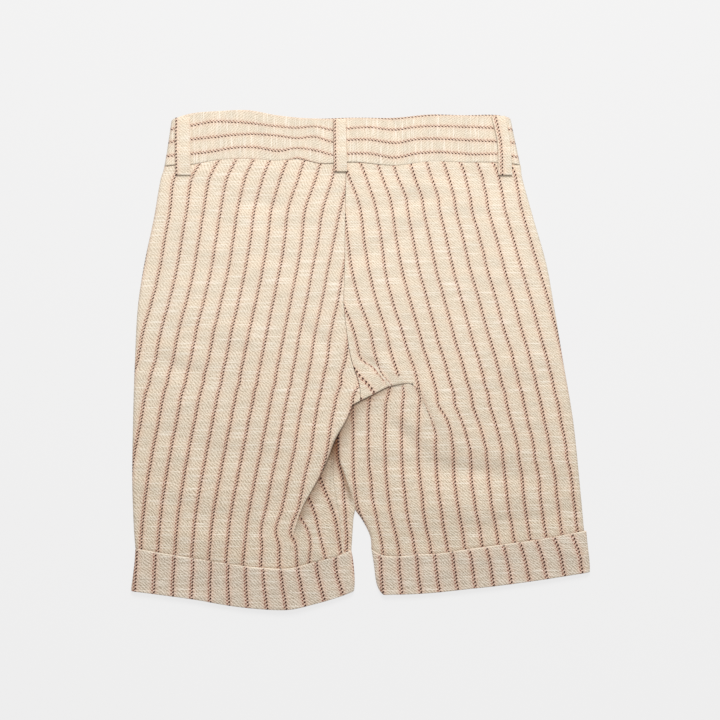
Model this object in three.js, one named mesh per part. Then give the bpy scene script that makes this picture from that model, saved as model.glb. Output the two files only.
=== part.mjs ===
// A child's bermuda shorts, laid flat on a table with the back upwards.
// Millimetres. X runs across the garment, +Y towards the waist, +Z away from the table.
// The origin lies on the table under the middle of the garment's outline.

import * as THREE from 'three';
import { mergeVertices } from 'three/addons/utils/BufferGeometryUtils.js';

// Driving dimensions

const CLOTH = 1.2; // wall of a single panel
const DOUBLED = 1.9; // wall of the waistband and the turn-ups, where the cloth is doubled
const FRONT_BAND = 1.6; // wall of the pressed front halves of the waistband
const LOOP = 1.5; // wall of a belt loop
const LOOP_FREE = 0.8; // how far a belt loop stands free of the waistband in its middle
const LOOP_FOOT = 0.7; // how far its lower end lies above the height LIE
const GAP = 0.3; // clearance between neighbouring pieces
const ROLL = 3; // width over which a side edge rolls down to the table
const INSEAM_ROLL = 2.2; // the same at the left inseam, where the front comes round on top
const SEAM_ROUND = 0.9; // rounding of the cloth where it dips into the centre back seam
const LIE = 3.5; // height of a back panel's upper side where it lies closest
const PUFF = 1.2; // how far the middle of a back panel stands above its edges
const BAND_LIE = 4.5; // height of the back waistband's upper side
const BAND_DEPTH = 34; // depth of the waistband, from its seam to its upper edge
const BAND_MEETS = -10.8; // where the waistband's front halves meet
const INNER_LIE = 3.1; // height of the left leg's inner cloth
const CUFF_TOP = 5.4; // height of a turn-up at its free upper edge
const CUFF_HEM = 4.7; // and at the hem
const CUFF_ROLL = 3.2; // half width of a turn-up's rolled side edge
const FOLD_REACH = 18; // how far from its edge a big fold still lifts the cloth
const STEP_BACK = 8; // length over which the underside closes up towards a big fold
const FOLD_STEP = 0.2; // least spacing of the rows in the right fold
const HAIR = 0.06; // spacing of points that only need to be apart
const RIGHT_FOLD_END = 60; // where the right fold has died out
const SIDE_OF_FOLD = -68; // level at which the right fold's line meets the side edge
const WAIST_LEVEL = 147.5; // mean level of the waist seam at the back
const FRONT_SEAM = 145; // level of the straight waist seam at the front
const CROTCH_LEVEL = -30.5; // level at which the centre back seam ends in the crotch folds
const RIM_TOP = -24; // upper end of the right leg's inner edge, under the seat
const RIM_START = 1.9; // height from which that edge comes down to the table
const LEG_ROWS = 14; // rows down the right leg
const SPLIT_LEVEL = -48; // level at which the left leg's inner cloth starts to show
const STRIP_LEVEL = -70; // level at which the left front comes round the inner edge
const HEM_LEVEL = -144; // mean level of the turn-ups' upper edges
const BEND = 34; // length over which the rows bend to follow a seam or a turn-up
const FOLD_ROUND = 0.37; // radius of a big fold's edge, as a share of its drop
const FOLD_FADE = 22; // length over which the right fold dies out
const CROWDING = 0.9; // below 1 the left half's columns stand closer towards the fold
const SEAT_END = -18; // where the right front leaves the centre, under the seat
const LEG_START = -22; // and where it follows the right leg's inner edge
const LEG_INNER = 0; // near this place across lies the right leg's inner edge
const LEG_OUTER = 168; // and near this one its outer edge
const TOP_ROUND = 0.8; // rounding of the waistband's upper edge
const CUFF_ROUND = 0.6; // rounding of a turn-up's two edges
const LOOP_PAST = 1; // how far past the waist seam a belt loop starts to step down
const LOOP_STEP = 5; // length over which it does so

// Outlines, as short tables

// The garment's left and right side edges
const SIDES = [
  { y: 181, left: -141.9, right: 112.6 },
  { y: 146, left: -147.4, right: 120.3 },
  { y: 108, left: -154.9, right: 129.4 },
  { y: 72, left: -162.4, right: 139.6 },
  { y: 40, left: -167.2, right: 145.4 },
  { y: 0, left: -169.4, right: 152 },
  { y: -45, left: -170.8, right: 159.6 },
  { y: -90, left: -171.4, right: 164.4 },
  { y: -128, left: -170.2, right: 167.9 },
  { y: -145, left: -169, right: 169.3 },
];

// The waistband's upper edge and its seam with the panels
const BAND = [
  { x: -148, top: 176.5, seam: 145.3 },
  { x: -139, top: 181, seam: 146 },
  { x: -126, top: 184.8, seam: 146.4 },
  { x: -106, top: 186.5, seam: 149.8 },
  { x: -84, top: 187.1, seam: 150.4 },
  { x: -64, top: 183.5, seam: 149.2 },
  { x: -46, top: 181.4, seam: 150.2 },
  { x: -29, top: 180.8, seam: 147.1 },
  { x: -5, top: 181.6, seam: 148.2 },
  { x: 25, top: 181.4, seam: 145.6 },
  { x: 52, top: 183.8, seam: 148.4 },
  { x: 78, top: 183.3, seam: 147.9 },
  { x: 100, top: 183.6, seam: 148 },
  { x: 111, top: 181.6, seam: 147.3 },
  { x: 121, top: 178, seam: 145.8 },
];

// The centre back seam
const SEAM = [
  { y: 148, x: -10.8 },
  { y: 105, x: -11.5 },
  { y: 60, x: -12.1 },
  { y: 42, x: -12.6 },
  { y: 21, x: -10.4 },
  { y: 6, x: -8.2 },
  { y: -6, x: -5.2 },
  { y: -15, x: -1.9 },
  { y: -23, x: -0.3 },
  { y: -30.5, x: -0.3 },
];

// The fold in which the left half hangs over the crotch and runs down to the hem:
// its edge, the height of its crest, of the cloth below it, and the pocket's depth
const LEFT_FOLD = [
  { y: -30.5, x: -0.4, crest: 5.5, below: 3.4, depth: 1.8 },
  { y: -34, x: -5.6, crest: 5.7, below: 3.4, depth: 2.5 },
  { y: -40, x: -8.2, crest: 5.9, below: 3.4, depth: 4.5 },
  { y: -48, x: -12.1, crest: 6.1, below: 3.4, depth: 6.5 },
  { y: -55, x: -16.3, crest: 6.1, below: 3, depth: 6 },
  { y: -62, x: -19.9, crest: 6.1, below: 2.8, depth: 5 },
  { y: -76, x: -25.1, crest: 6.2, below: 2.8, depth: 4 },
  { y: -90, x: -32, crest: 6.4, below: 2.8, depth: 4 },
  { y: -108, x: -42.2, crest: 6.4, below: 2.8, depth: 4 },
  { y: -121, x: -47.9, crest: 6.1, below: 3, depth: 3 },
  { y: -131, x: -51.9, crest: 5.4, below: 3.3, depth: 2 },
  { y: -142, x: -53, crest: 4.5, below: 3.5, depth: 1 },
  { y: -156, x: -53.4, crest: 3.9, below: 3.5, depth: 0.6 },
];

// The fold in which the right half hangs over its leg, and the crease in which it dies out
const RIGHT_FOLD = [
  { x: -0.3, y: -30.7, crest: 5.5, below: 3.3, depth: 5 },
  { x: 8, y: -26.5, crest: 5.9, below: 3.3, depth: 5 },
  { x: 20, y: -20.5, crest: 6.1, below: 3.3, depth: 5 },
  { x: 33, y: -17.5, crest: 6.1, below: 3.6, depth: 4 },
  { x: 38, y: -17.8, crest: 5.9, below: 4.2, depth: 2 },
  { x: 44, y: -23, crest: 5.7, below: 4.8, depth: 0.7 },
  { x: 51.5, y: -42, crest: 5.4, below: 5, depth: 0 },
  { x: 58, y: -54, crest: 5.1, below: 4.9, depth: 0 },
];

// How its line goes on to the side edge, with no fold left
const PAST_FOLD = [
  { x: 78, y: -63 },
  { x: 110, y: -67 },
  { x: 165, y: -68 },
];

// The right leg's inner edge, which lies on the table beside the left leg
const RIM = [
  { y: -24, x: -6.4 },
  { y: -31, x: -9.6 },
  { y: -39, x: -13.2 },
  { y: -49, x: -16.2 },
  { y: -60, x: -17.3 },
  { y: -73, x: -16.9 },
  { y: -88, x: -12.1 },
  { y: -103, x: -7.3 },
  { y: -112.5, x: -4 },
  { y: -118, x: -0.1 },
  { y: -127, x: 5 },
  { y: -134, x: 7.6 },
  { y: -143, x: 8.2 },
];

// The left leg's inseam, seen on top of the leg
const INSEAM = [
  { y: -48, x: -18.4 },
  { y: -60, x: -18.6 },
  { y: -70, x: -20.4 },
  { y: -90, x: -20.6 },
  { y: -103.5, x: -18.4 },
  { y: -121, x: -15.4 },
  { y: -145, x: -13.9 },
];

// Where the two fronts meet, and below that the left leg's inner edge
const FRONT_MIDDLE = [
  { y: 148, x: -10.8 },
  { y: 20, x: -9 },
  { y: -20, x: -8.4 },
  { y: -31, x: -10.4 },
  { y: -39, x: -14 },
  { y: -49, x: -16.9 },
  { y: -60, x: -17.9 },
  { y: -70, x: -17.8 },
  { y: -90, x: -12.3 },
  { y: -103, x: -8 },
  { y: -112.5, x: -5 },
  { y: -121, x: -5.4 },
  { y: -131, x: -6.2 },
  { y: -145, x: -7 },
];

// The left turn-up's free upper edge and its hem, across the leg
const LEFT_CUFF = [
  { x: -172, top: -140.6, hem: -173.2 },
  { x: -150, top: -144.4, hem: -176 },
  { x: -124, top: -148.5, hem: -179.6 },
  { x: -99, top: -152.5, hem: -184 },
  { x: -76, top: -155.3, hem: -186.6 },
  { x: -54, top: -155.9, hem: -187.1 },
  { x: -37, top: -151.9, hem: -183.6 },
  { x: -18, top: -147, hem: -178.2 },
  { x: -4, top: -141, hem: -173 },
];

// The right turn-up's free upper edge and its hem
const RIGHT_CUFF = [
  { x: 8, top: -141.8, hem: -176.2 },
  { x: 16, top: -146.1, hem: -176.1 },
  { x: 27, top: -147.1, hem: -175.8 },
  { x: 42, top: -145.6, hem: -175.3 },
  { x: 57, top: -145, hem: -174.2 },
  { x: 79, top: -141.8, hem: -171.8 },
  { x: 104, top: -138.4, hem: -169.1 },
  { x: 136, top: -133.9, hem: -164.7 },
  { x: 172, top: -127.3, hem: -159 },
];

// Where a turn-up is swollen, and the wave along both
const LEFT_SWELL = { x: -50, wide: 16, rise: 0.8 };
const RIGHT_SWELL = { x: 40, wide: 14, rise: 0.4 };
const CUFF_WAVE = { start: 0, length: 17, rise: 0.3 };

// Waves across the waistband, strongest at its upper edge
const BAND_WAVES = [
  { start: -96, length: 22, rise: 0.35 },
  { start: 20, length: 13, rise: 0.25 },
];

// How the turn-ups' side edges run from the upper edge (0) to the hem (1)
const CUFF_SIDES = [
  { part: 0, leftOuter: -168.8, leftInner: -6.9, rightInner: 8.2, rightOuter: 169.3 },
  { part: 0.3, leftOuter: -169.4, leftInner: -5.4, rightInner: 10, rightOuter: 170.2 },
  { part: 0.7, leftOuter: -170.9, leftInner: -4.4, rightInner: 11.8, rightOuter: 171.6 },
  { part: 0.9, leftOuter: -171.8, leftInner: -4.5, rightInner: 14.4, rightOuter: 172 },
  { part: 1, leftOuter: -172, leftInner: -5, rightInner: 17, rightOuter: 172 },
];

// Soft ridges (rise over 0) and troughs: middle, turn from +X in degrees, half length,
// half width and rise
const SOFT_FOLDS = [
  { x: 78, y: -83, turn: -6, long: 48, wide: 9, rise: -1 },
  { x: 36, y: -60, turn: -42, long: 20, wide: 7, rise: -0.9 },
  { x: 47, y: -34, turn: -62, long: 24, wide: 10, rise: 0.9 },
  { x: 22, y: 88, turn: 24, long: 30, wide: 7, rise: -0.7 },
  { x: 37, y: 118, turn: 14, long: 22, wide: 6, rise: -0.6 },
  { x: 84, y: 137, turn: -3, long: 36, wide: 6, rise: -0.5 },
  { x: 9, y: 44, turn: 88, long: 42, wide: 12, rise: 0.8 },
  { x: -31, y: 15, turn: -36, long: 18, wide: 6, rise: -0.6 },
  { x: -41, y: -17, turn: 86, long: 16, wide: 7, rise: -0.6 },
  { x: -76, y: 119, turn: -4, long: 20, wide: 6, rise: -0.5 },
  { x: -136, y: -7, turn: -20, long: 30, wide: 8, rise: -0.5 },
  { x: -64, y: -110, turn: 72, long: 18, wide: 8, rise: -0.7 },
  { x: -120, y: -134, turn: -8, long: 26, wide: 9, rise: 0.6 },
  { x: 70, y: -112, turn: 4, long: 40, wide: 12, rise: 0.6 },
];

// Belt loops on the back: side edges at the waistband's upper edge, its middle and below it
const LOOPS = [
  {
    name: 'belt_loop_left',
    edges: [
      { y: 181.4, left: -138.6, right: -127.6 },
      { y: 162, left: -138.7, right: -127.4 },
      { y: 138.4, left: -138.4, right: -127 },
    ],
  },
  {
    name: 'belt_loop_centre',
    edges: [
      { y: 180.2, left: -20.4, right: -10.9 },
      { y: 161, left: -20.2, right: -10.4 },
      { y: 141, left: -19.9, right: -9.8 },
    ],
  },
  {
    name: 'belt_loop_right',
    edges: [
      { y: 182.6, left: 97.8, right: 108.2 },
      { y: 162.4, left: 102.3, right: 111.9 },
      { y: 138.4, left: 103, right: 113.6 },
    ],
  },
];

// Curves and grids

const mix = (a, b, t) => a + (b - a) * t;
const clamp = (v, low, high) => Math.min(Math.max(v, low), high);
const degrees = (angle) => (angle * Math.PI) / 180;

function smooth(t) {
  const c = clamp(t, 0, 1);
  return c * c * (3 - 2 * c);
}

// Even steps from a towards b; the last value is b itself where `closed`.
function steps(a, b, count, closed = false) {
  const length = closed ? count + 1 : count;
  return Array.from({ length }, (_, i) => mix(a, b, i / count));
}

// The smooth curve through a table's rows: one column as a function of another.
function track(rows, from, to) {
  const points = rows.map((row) => [row[from], row[to]]).sort((a, b) => a[0] - b[0]);
  const last = points.length - 1;
  const slopes = points.map((_, i) => {
    const before = points[Math.max(i - 1, 0)];
    const after = points[Math.min(i + 1, last)];
    return (after[1] - before[1]) / (after[0] - before[0]);
  });
  return (value) => {
    const v = clamp(value, points[0][0], points[last][0]);
    let i = 0;
    while (i < last - 1 && v > points[i + 1][0]) i += 1;
    const span = points[i + 1][0] - points[i][0];
    const t = (v - points[i][0]) / span;
    const near = points[i][1] * (1 + 2 * t) + span * slopes[i] * t;
    const far = points[i + 1][1] * (3 - 2 * t) - span * slopes[i + 1] * (1 - t);
    return near * (1 - t) ** 2 + far * t ** 2;
  };
}

const leftSide = track(SIDES, 'y', 'left');
const rightSide = track(SIDES, 'y', 'right');
const bandTop = track(BAND, 'x', 'top');
const bandSeam = track(BAND, 'x', 'seam');
const frontSeam = () => FRONT_SEAM;
const centreSeam = track(SEAM, 'y', 'x');
const rim = track(RIM, 'y', 'x');
const inseam = track(INSEAM, 'y', 'x');
const frontMiddle = track(FRONT_MIDDLE, 'y', 'x');
const leftCuffTop = track(LEFT_CUFF, 'x', 'top');
const rightCuffTop = track(RIGHT_CUFF, 'x', 'top');

// Rows of the seat between the waist seam (0) and the crotch (1), closer towards the crotch
const SEAT_PARTS = [...steps(0, 0.88, 10), ...steps(0.88, 1, 3)];

// The left half's inner edge: the centre seam and, below the crotch, the big fold
const leftFold = track(LEFT_FOLD, 'y', 'x');
const leftEdge = {
  x: (level) => (level < CROTCH_LEVEL ? leftFold(level) : centreSeam(level)),
  crest: track([{ y: 20, crest: LIE }, { y: -8, crest: 4.3 }, ...LEFT_FOLD], 'y', 'crest'),
  below: track(LEFT_FOLD, 'y', 'below'),
  depth: track(LEFT_FOLD, 'y', 'depth'),
};

const rightFold = {
  y: track([...RIGHT_FOLD, ...PAST_FOLD], 'x', 'y'),
  crest: track(RIGHT_FOLD, 'x', 'crest'),
  below: track(RIGHT_FOLD, 'x', 'below'),
  depth: track(RIGHT_FOLD, 'x', 'depth'),
};

// One closed wall between an outer and an inner grid of points of the same size. Columns that
// run together in a row leave no faces there. A ring's last column joins its first.
function wall(outer, inner, ring = false) {
  const rows = outer.length;
  const columns = outer[0].length;
  const positions = [...outer.flat(), ...inner.flat()].flat();
  const at = (side, i, j) => side * rows * columns + i * columns + (j % columns);
  const faces = [];
  const quad = (a, b, c, d) => faces.push([a, b, c], [a, c, d]);
  const across = ring ? columns : columns - 1;
  for (let i = 0; i < rows - 1; i += 1) {
    for (let j = 0; j < across; j += 1) {
      quad(at(0, i, j), at(0, i + 1, j), at(0, i + 1, j + 1), at(0, i, j + 1));
      quad(at(1, i, j), at(1, i, j + 1), at(1, i + 1, j + 1), at(1, i + 1, j));
    }
  }
  for (let j = 0; j < across; j += 1) {
    quad(at(0, 0, j), at(0, 0, j + 1), at(1, 0, j + 1), at(1, 0, j));
    quad(at(0, rows - 1, j + 1), at(0, rows - 1, j), at(1, rows - 1, j), at(1, rows - 1, j + 1));
  }
  for (let i = 0; i < rows - 1 && !ring; i += 1) {
    const end = columns - 1;
    quad(at(0, i + 1, 0), at(0, i, 0), at(1, i, 0), at(1, i + 1, 0));
    quad(at(0, i, end), at(0, i + 1, end), at(1, i + 1, end), at(1, i, end));
  }
  return closedGeometry(positions, faces);
}

// Merges the points that coincide, drops the faces that vanish with them and turns the solid
// outwards.
function closedGeometry(positions, faces) {
  const raw = new THREE.BufferGeometry();
  raw.setAttribute('position', new THREE.Float32BufferAttribute(positions, 3));
  raw.setIndex(faces.flat());
  const merged = mergeVertices(raw, 1e-3);
  const point = merged.getAttribute('position');
  const index = merged.getIndex().array;
  const corners = [0, 1, 2].map(() => new THREE.Vector3());
  const kept = [];
  let volume = 0;
  for (let f = 0; f < index.length; f += 3) {
    const [a, b, c] = [index[f], index[f + 1], index[f + 2]];
    if (a === b || b === c || c === a) continue;
    kept.push([a, b, c]);
    [a, b, c].forEach((v, k) => corners[k].fromBufferAttribute(point, v));
    volume += corners[0].dot(corners[1].clone().cross(corners[2]));
  }
  merged.setIndex((volume < 0 ? kept.map(([a, b, c]) => [a, c, b]) : kept).flat());
  merged.computeVertexNormals();
  return merged;
}

// Heights

// The soft ridges and troughs added to a panel's height
function softFolds(x, y) {
  return SOFT_FOLDS.reduce((sum, fold) => {
    const turn = degrees(fold.turn);
    const along = (x - fold.x) * Math.cos(turn) + (y - fold.y) * Math.sin(turn);
    const across = (y - fold.y) * Math.cos(turn) - (x - fold.x) * Math.sin(turn);
    return sum + fold.rise * Math.exp(-((along / fold.long) ** 2) - (across / fold.wide) ** 2);
  }, 0);
}

// A back panel's upper side; `across` runs from 0 to 1 over the panel.
function lie(x, y, across) {
  return LIE + PUFF * Math.sin(Math.PI * clamp(across, 0, 1)) + softFolds(x, y);
}

// How much of a big fold's lift is left at a distance from its edge
const fade = (distance) => Math.exp(-((distance / FOLD_REACH) ** 2));

const wave = ({ start, length, rise }, x) => rise * Math.sin((x - start) / length);

// The waistband's upper side
function bandHeight(x, y) {
  const ripple = BAND_WAVES.reduce((sum, row) => sum + wave(row, x), 0);
  return BAND_LIE + ripple * smooth((y - WAIST_LEVEL) / BAND_DEPTH);
}

// Bends a level row so that it follows the waist seam above and a turn-up below.
function bent(x, level, waistSeam, cuffTop) {
  const nearWaist = smooth((level - WAIST_LEVEL + BEND) / BEND);
  const nearCuff = smooth((HEM_LEVEL + BEND - level) / BEND);
  const toWaist = waistSeam(x) - GAP - WAIST_LEVEL;
  const toCuff = cuffTop(x) + GAP - HEM_LEVEL;
  return level + nearWaist * toWaist + nearCuff * toCuff;
}

// Section of an edge that rolls down to its foot: x and height of the outer and the inner side,
// from the foot up. The wall's middle lies on the side of larger x where `side` is 1.
function rolled(edge, side, width, foot, outTop, inTop, thick = CLOTH) {
  const hollow = Math.max(width - thick, 0);
  const inFoot = hollow > 0 ? foot : inTop;
  return steps(0, 90, 4).map((angle) => {
    const [c, s] = [Math.cos(degrees(angle)), Math.sin(degrees(angle))];
    return {
      out: [edge + side * width * (1 - c), mix(foot, outTop, s)],
      in: [edge + side * (width - hollow * c), mix(inFoot, inTop, s)],
    };
  });
}

// One row of a panel that rolls down at both edges, as outer and inner points
function panelRow({ left, right, leftWidth, leftFoot, count, thick, yOut, yIn, zOut, zIn }) {
  const [start, end] = [left + leftWidth, right - ROLL];
  const section = [
    ...rolled(left, 1, leftWidth, leftFoot, zOut(start), zIn(start), thick),
    ...steps(start, end, count, true).map((x) => ({ out: [x, zOut(x)], in: [x, zIn(x)] })),
    ...rolled(right, -1, ROLL, 0, zOut(end), zIn(end), thick).reverse(),
  ];
  return {
    outer: section.map(({ out: [x, z] }) => [x, yOut(x), z]),
    inner: section.map(({ in: [x, z] }) => [x, yIn(x), z]),
  };
}

const wallOfRows = (rows) => wall(rows.map((row) => row.outer), rows.map((row) => row.inner));

// Back panels

// One row of the left half of the seat with its leg, from the side edge over the panel to the
// centre seam. Below the crotch it turns under at the big fold there, and goes on as the leg's
// inner cloth to the inseam.
function backLeftRow(level) {
  const folded = level < CROTCH_LEVEL;
  const split = level < SPLIT_LEVEL;
  const yAt = (x) => bent(x, level, bandSeam, leftCuffTop);
  const start = leftSide(level) + ROLL;
  const end = leftEdge.x(level) - GAP / 2;
  const crest = leftEdge.crest(level);
  const below = leftEdge.below(level);
  const half = folded ? FOLD_ROUND * (crest - below) : SEAM_ROUND;
  const top = end - half;
  const pocket = folded ? end - leftEdge.depth(level) : end;
  const shutAt = folded ? pocket - CLOTH : top;
  const height = (x) => lie(x, level, (x - start) / (top - start)) + (crest - LIE) * fade(top - x);
  const under = (x) => {
    const shut = split ? smooth((x - shutAt) / STEP_BACK + 1) : 0;
    return mix(height(x) - CLOTH, below - CLOTH, shut);
  };

  const roll = rolled(leftSide(level), 1, ROLL, 0, height(start), under(start));
  const out = roll.map((point) => point.out);
  const inside = roll.map((point) => point.in);
  for (const s of steps(0, 1, 14, true).map((part) => part ** CROWDING)) {
    const [x, xIn] = [mix(start, top, s), mix(start, shutAt, s)];
    out.push([x, height(x)]);
    inside.push([xIn, under(xIn)]);
  }
  steps(1, 3, 2, true).forEach((third) => {
    const angle = degrees((third * (folded ? 180 : 90)) / 3);
    out.push([top + half * Math.sin(angle), height(top) - half * (1 - Math.cos(angle))]);
    inside.push([shutAt + third * HAIR, under(shutAt)]);
  });
  out.push([pocket, out.at(-1)[1]]);
  inside.push(inside.at(-1));
  for (const s of steps(0, 1, 6, true)) {
    const x = mix(pocket, inseam(level) - GAP, s);
    const z = mix(below, Math.max(below, INNER_LIE), smooth(s * 2));
    out.push(split ? [x, z] : out.at(-1));
    inside.push(split ? [x, z - CLOTH] : inside.at(-1));
  }
  return {
    outer: out.map(([x, z]) => [x, yAt(x), z]),
    inner: inside.map(([x, z]) => [x, yAt(x), z]),
  };
}

function backLeft() {
  const levels = [
    ...SEAT_PARTS.map((part) => mix(WAIST_LEVEL, CROTCH_LEVEL, part)),
    ...steps(CROTCH_LEVEL, SPLIT_LEVEL, 5),
    ...steps(SPLIT_LEVEL, HEM_LEVEL, 14, true),
  ];
  return wallOfRows(levels.map(backLeftRow));
}

// The right half of the seat with its leg. Its rows run from the waist seam down to the big fold
// over the crotch, turn under there, and go on down the leg. The fold dies out to the right.
function backRight() {
  const strength = (x) => smooth((RIGHT_FOLD_END - x) / FOLD_FADE);
  const across = (x, left, right) => (x - left) / (right - left);
  const plain = (x) => lie(x, rightFold.y(x), across(x, 0, rightSide(SIDE_OF_FOLD)));
  const crest = (x) => mix(plain(x), rightFold.crest(x), strength(x));
  const below = (x) => mix(plain(x) - HAIR, rightFold.below(x), strength(x));
  const half = (x) => FOLD_ROUND * (crest(x) - below(x));
  const depth = (x) => rightFold.depth(x) * strength(x);
  const legTop = (x) => rightFold.y(x) + depth(x) - 5 * FOLD_STEP;
  const waist = (x) => bandSeam(x) - GAP;
  const shutAt = (x) => rightFold.y(x) + depth(x) + CLOTH * strength(x);

  const seatRows = [...SEAT_PARTS, 1].map((down) => {
    const left = centreSeam(mix(waist(SEAM[0].x), CROTCH_LEVEL, down)) + GAP / 2;
    const right = rightSide(mix(waist(SIDES[1].right), SIDE_OF_FOLD, down));
    const yOut = (x) => mix(waist(x), rightFold.y(x) + half(x), down);
    const yIn = (x) => mix(waist(x), shutAt(x), down);
    const zAt = (x, y, away) => {
      const lifted = (crest(x) - plain(x)) * fade(away);
      return lie(x, y, across(x, left, right)) + lifted;
    };
    const zOut = (x) => zAt(x, yOut(x), yOut(x) - rightFold.y(x) - half(x));
    const zIn = (x) => {
      const away = yIn(x) - shutAt(x);
      return mix(below(x), zAt(x, yIn(x), away), smooth(away / STEP_BACK)) - CLOTH;
    };
    const leftFoot = zOut(left) - SEAM_ROUND;
    const leftWidth = SEAM_ROUND;
    return panelRow({ left, right, leftWidth, leftFoot, count: 16, yOut, yIn, zOut, zIn });
  });

  const foldRows = [1, 2, 3, 4].map((k) => {
    const angle = degrees(Math.min(k * 60, 180));
    const left = centreSeam(CROTCH_LEVEL) + GAP / 2;
    const right = rightSide(SIDE_OF_FOLD);
    const edge = (x) => rightFold.y(x) + half(x) * (1 - Math.sin(angle));
    const yOut = (x) => (k < 4 ? edge(x) : rightFold.y(x) + depth(x)) - k * FOLD_STEP;
    const yIn = (x) => shutAt(x) - k * HAIR;
    const zOut = (x) => crest(x) - half(x) * (1 - Math.cos(angle));
    const zIn = (x) => below(x) - CLOTH;
    const leftFoot = zOut(left) - SEAM_ROUND * (1 - k / 4);
    const leftWidth = SEAM_ROUND;
    return panelRow({ left, right, leftWidth, leftFoot, count: 16, yOut, yIn, zOut, zIn });
  });

  const legRows = steps(0, 1, LEG_ROWS, true).map((down) => {
    const y = (x) => mix(legTop(x), rightCuffTop(x) + GAP, down);
    const left = rim(y(LEG_INNER));
    const right = rightSide(y(LEG_OUTER));
    const zOut = (x) => {
      const settled = (below(x) - plain(x)) * strength(x) * fade(legTop(x) - y(x));
      return lie(x, y(x), across(x, left, right)) + settled;
    };
    const zIn = (x) => zOut(x) - CLOTH;
    const leftFoot = RIM_START * Math.max(1 - down * LEG_ROWS, 0);
    const sizes = { left, right, leftWidth: ROLL, leftFoot, count: 16 };
    return panelRow({ ...sizes, yOut: y, yIn: y, zOut, zIn });
  });
  return wallOfRows([...seatRows, ...foldRows, ...legRows]);
}

// Front panels, flat on the table

// The left front. From the level where the legs part, its inner edge comes round on top of the
// leg and ends at the inseam there.
function frontLeft() {
  const levels = [
    ...steps(WAIST_LEVEL, RIM_TOP, 6),
    ...steps(RIM_TOP, STRIP_LEVEL, 6),
    ...steps(STRIP_LEVEL, HEM_LEVEL, 10, true),
  ];
  const rows = levels.map((level) => {
    const yAt = (x) => bent(x, level, frontSeam, leftCuffTop);
    const start = leftSide(level) + CLOTH + 2 * GAP;
    const edge = frontMiddle(level) - GAP / 2;
    const round = level < STRIP_LEVEL;
    const end = round ? edge - INSEAM_ROLL : edge;
    const out = steps(start, end, 13, true).map((x) => [x, 0]);
    const inside = steps(start, end, 13, true).map((x) => [x, CLOTH]);
    const middle = INNER_LIE / 2;
    steps(30, 180, 5, true).forEach((angle) => {
      const [s, c] = [Math.sin(degrees(angle)), Math.cos(degrees(angle))];
      const [wide, high] = [INSEAM_ROLL - CLOTH, middle - CLOTH];
      out.push(round ? [end + INSEAM_ROLL * s, middle * (1 - c)] : out.at(-1));
      inside.push(round ? [end + wide * s, middle - high * c] : inside.at(-1));
    });
    for (const x of steps(end, inseam(level), 3, true).slice(1)) {
      out.push(round ? [x, INNER_LIE] : out.at(-1));
      inside.push(round ? [x, INNER_LIE - CLOTH] : inside.at(-1));
    }
    return {
      outer: out.map(([x, z]) => [x, yAt(x), z]),
      inner: inside.map(([x, z]) => [x, yAt(x), z]),
    };
  });
  return wallOfRows(rows);
}

// A flat piece on the table between two edges that are functions of the level
function flatPiece(levels, left, right, count, thick, yAt) {
  const grid = (z) => levels.map((level) => (
    steps(left(level), right(level), count, true).map((x) => [x, yAt(x, level), z])
  ));
  return wall(grid(thick), grid(0));
}

function frontRight() {
  const levels = [
    ...steps(WAIST_LEVEL, SEAT_END, 6, true),
    ...steps(LEG_START, HEM_LEVEL, LEG_ROWS, true),
  ];
  const inside = CLOTH + 3 * GAP;
  const left = (level) => (
    level < SEAT_END ? rim(level) + inside + GAP : frontMiddle(level) + GAP / 2
  );
  const yAt = (x, level) => bent(x, level, frontSeam, rightCuffTop);
  const right = (level) => rightSide(yAt(rightSide(level), level)) - inside;
  return flatPiece(levels, left, right, 14, CLOTH, yAt);
}

// Waistband

// The back of the waistband. Its upper edge is a fold, so it is rounded.
function bandBack() {
  const rows = [0, 0.04, 0.28, 0.52, 0.76, 1].map((part) => {
    const level = mix(SIDES[0].y, WAIST_LEVEL, part);
    const yOut = (x) => mix(bandTop(x), bandSeam(x), part);
    const round = part === 0 ? TOP_ROUND : 0;
    const zOut = (x) => bandHeight(x, yOut(x)) - round;
    const zIn = (x) => bandHeight(x, yOut(x)) - DOUBLED;
    const sizes = { left: leftSide(level), right: rightSide(level), leftWidth: ROLL, leftFoot: 0 };
    return panelRow({ ...sizes, count: 30, thick: DOUBLED, yOut, yIn: yOut, zOut, zIn });
  });
  return wallOfRows(rows);
}

// One front half of the waistband, pressed flat; the halves meet at the centre front.
function bandFront(leftEnd, rightEnd) {
  const parts = [0.03, 0.5, 1];
  const level = (part) => mix(SIDES[0].y, WAIST_LEVEL, part);
  const left = (part) => leftEnd(level(part));
  const right = (part) => rightEnd(level(part));
  const yAt = (x, part) => mix(bandTop(x), FRONT_SEAM, part);
  return flatPiece(parts, left, right, 10, FRONT_BAND, yAt);
}

// A belt loop: a doubled strip on the waistband, a little free of it between its two ends.
function beltLoop(edges) {
  const left = track(edges, 'y', 'left');
  const right = track(edges, 'y', 'right');
  const [top, foot] = [edges[0].y, edges.at(-1).y];
  const rows = steps(0, 1, 9, true).map((part) => {
    const y = mix(top, foot, part);
    return steps(left(y), right(y), 3, true).map((x) => {
      const down = smooth((bandSeam(x) - LOOP_PAST - y) / LOOP_STEP);
      const base = mix(bandHeight(x, y), LIE + LOOP_FOOT, down) + GAP;
      return [x, y, base + LOOP_FREE * Math.sin(Math.PI * part)];
    });
  });
  const raised = rows.map((row) => row.map(([x, y, z]) => [x, y, z + LOOP]));
  return wall(raised, rows);
}

// Turn-ups

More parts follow.
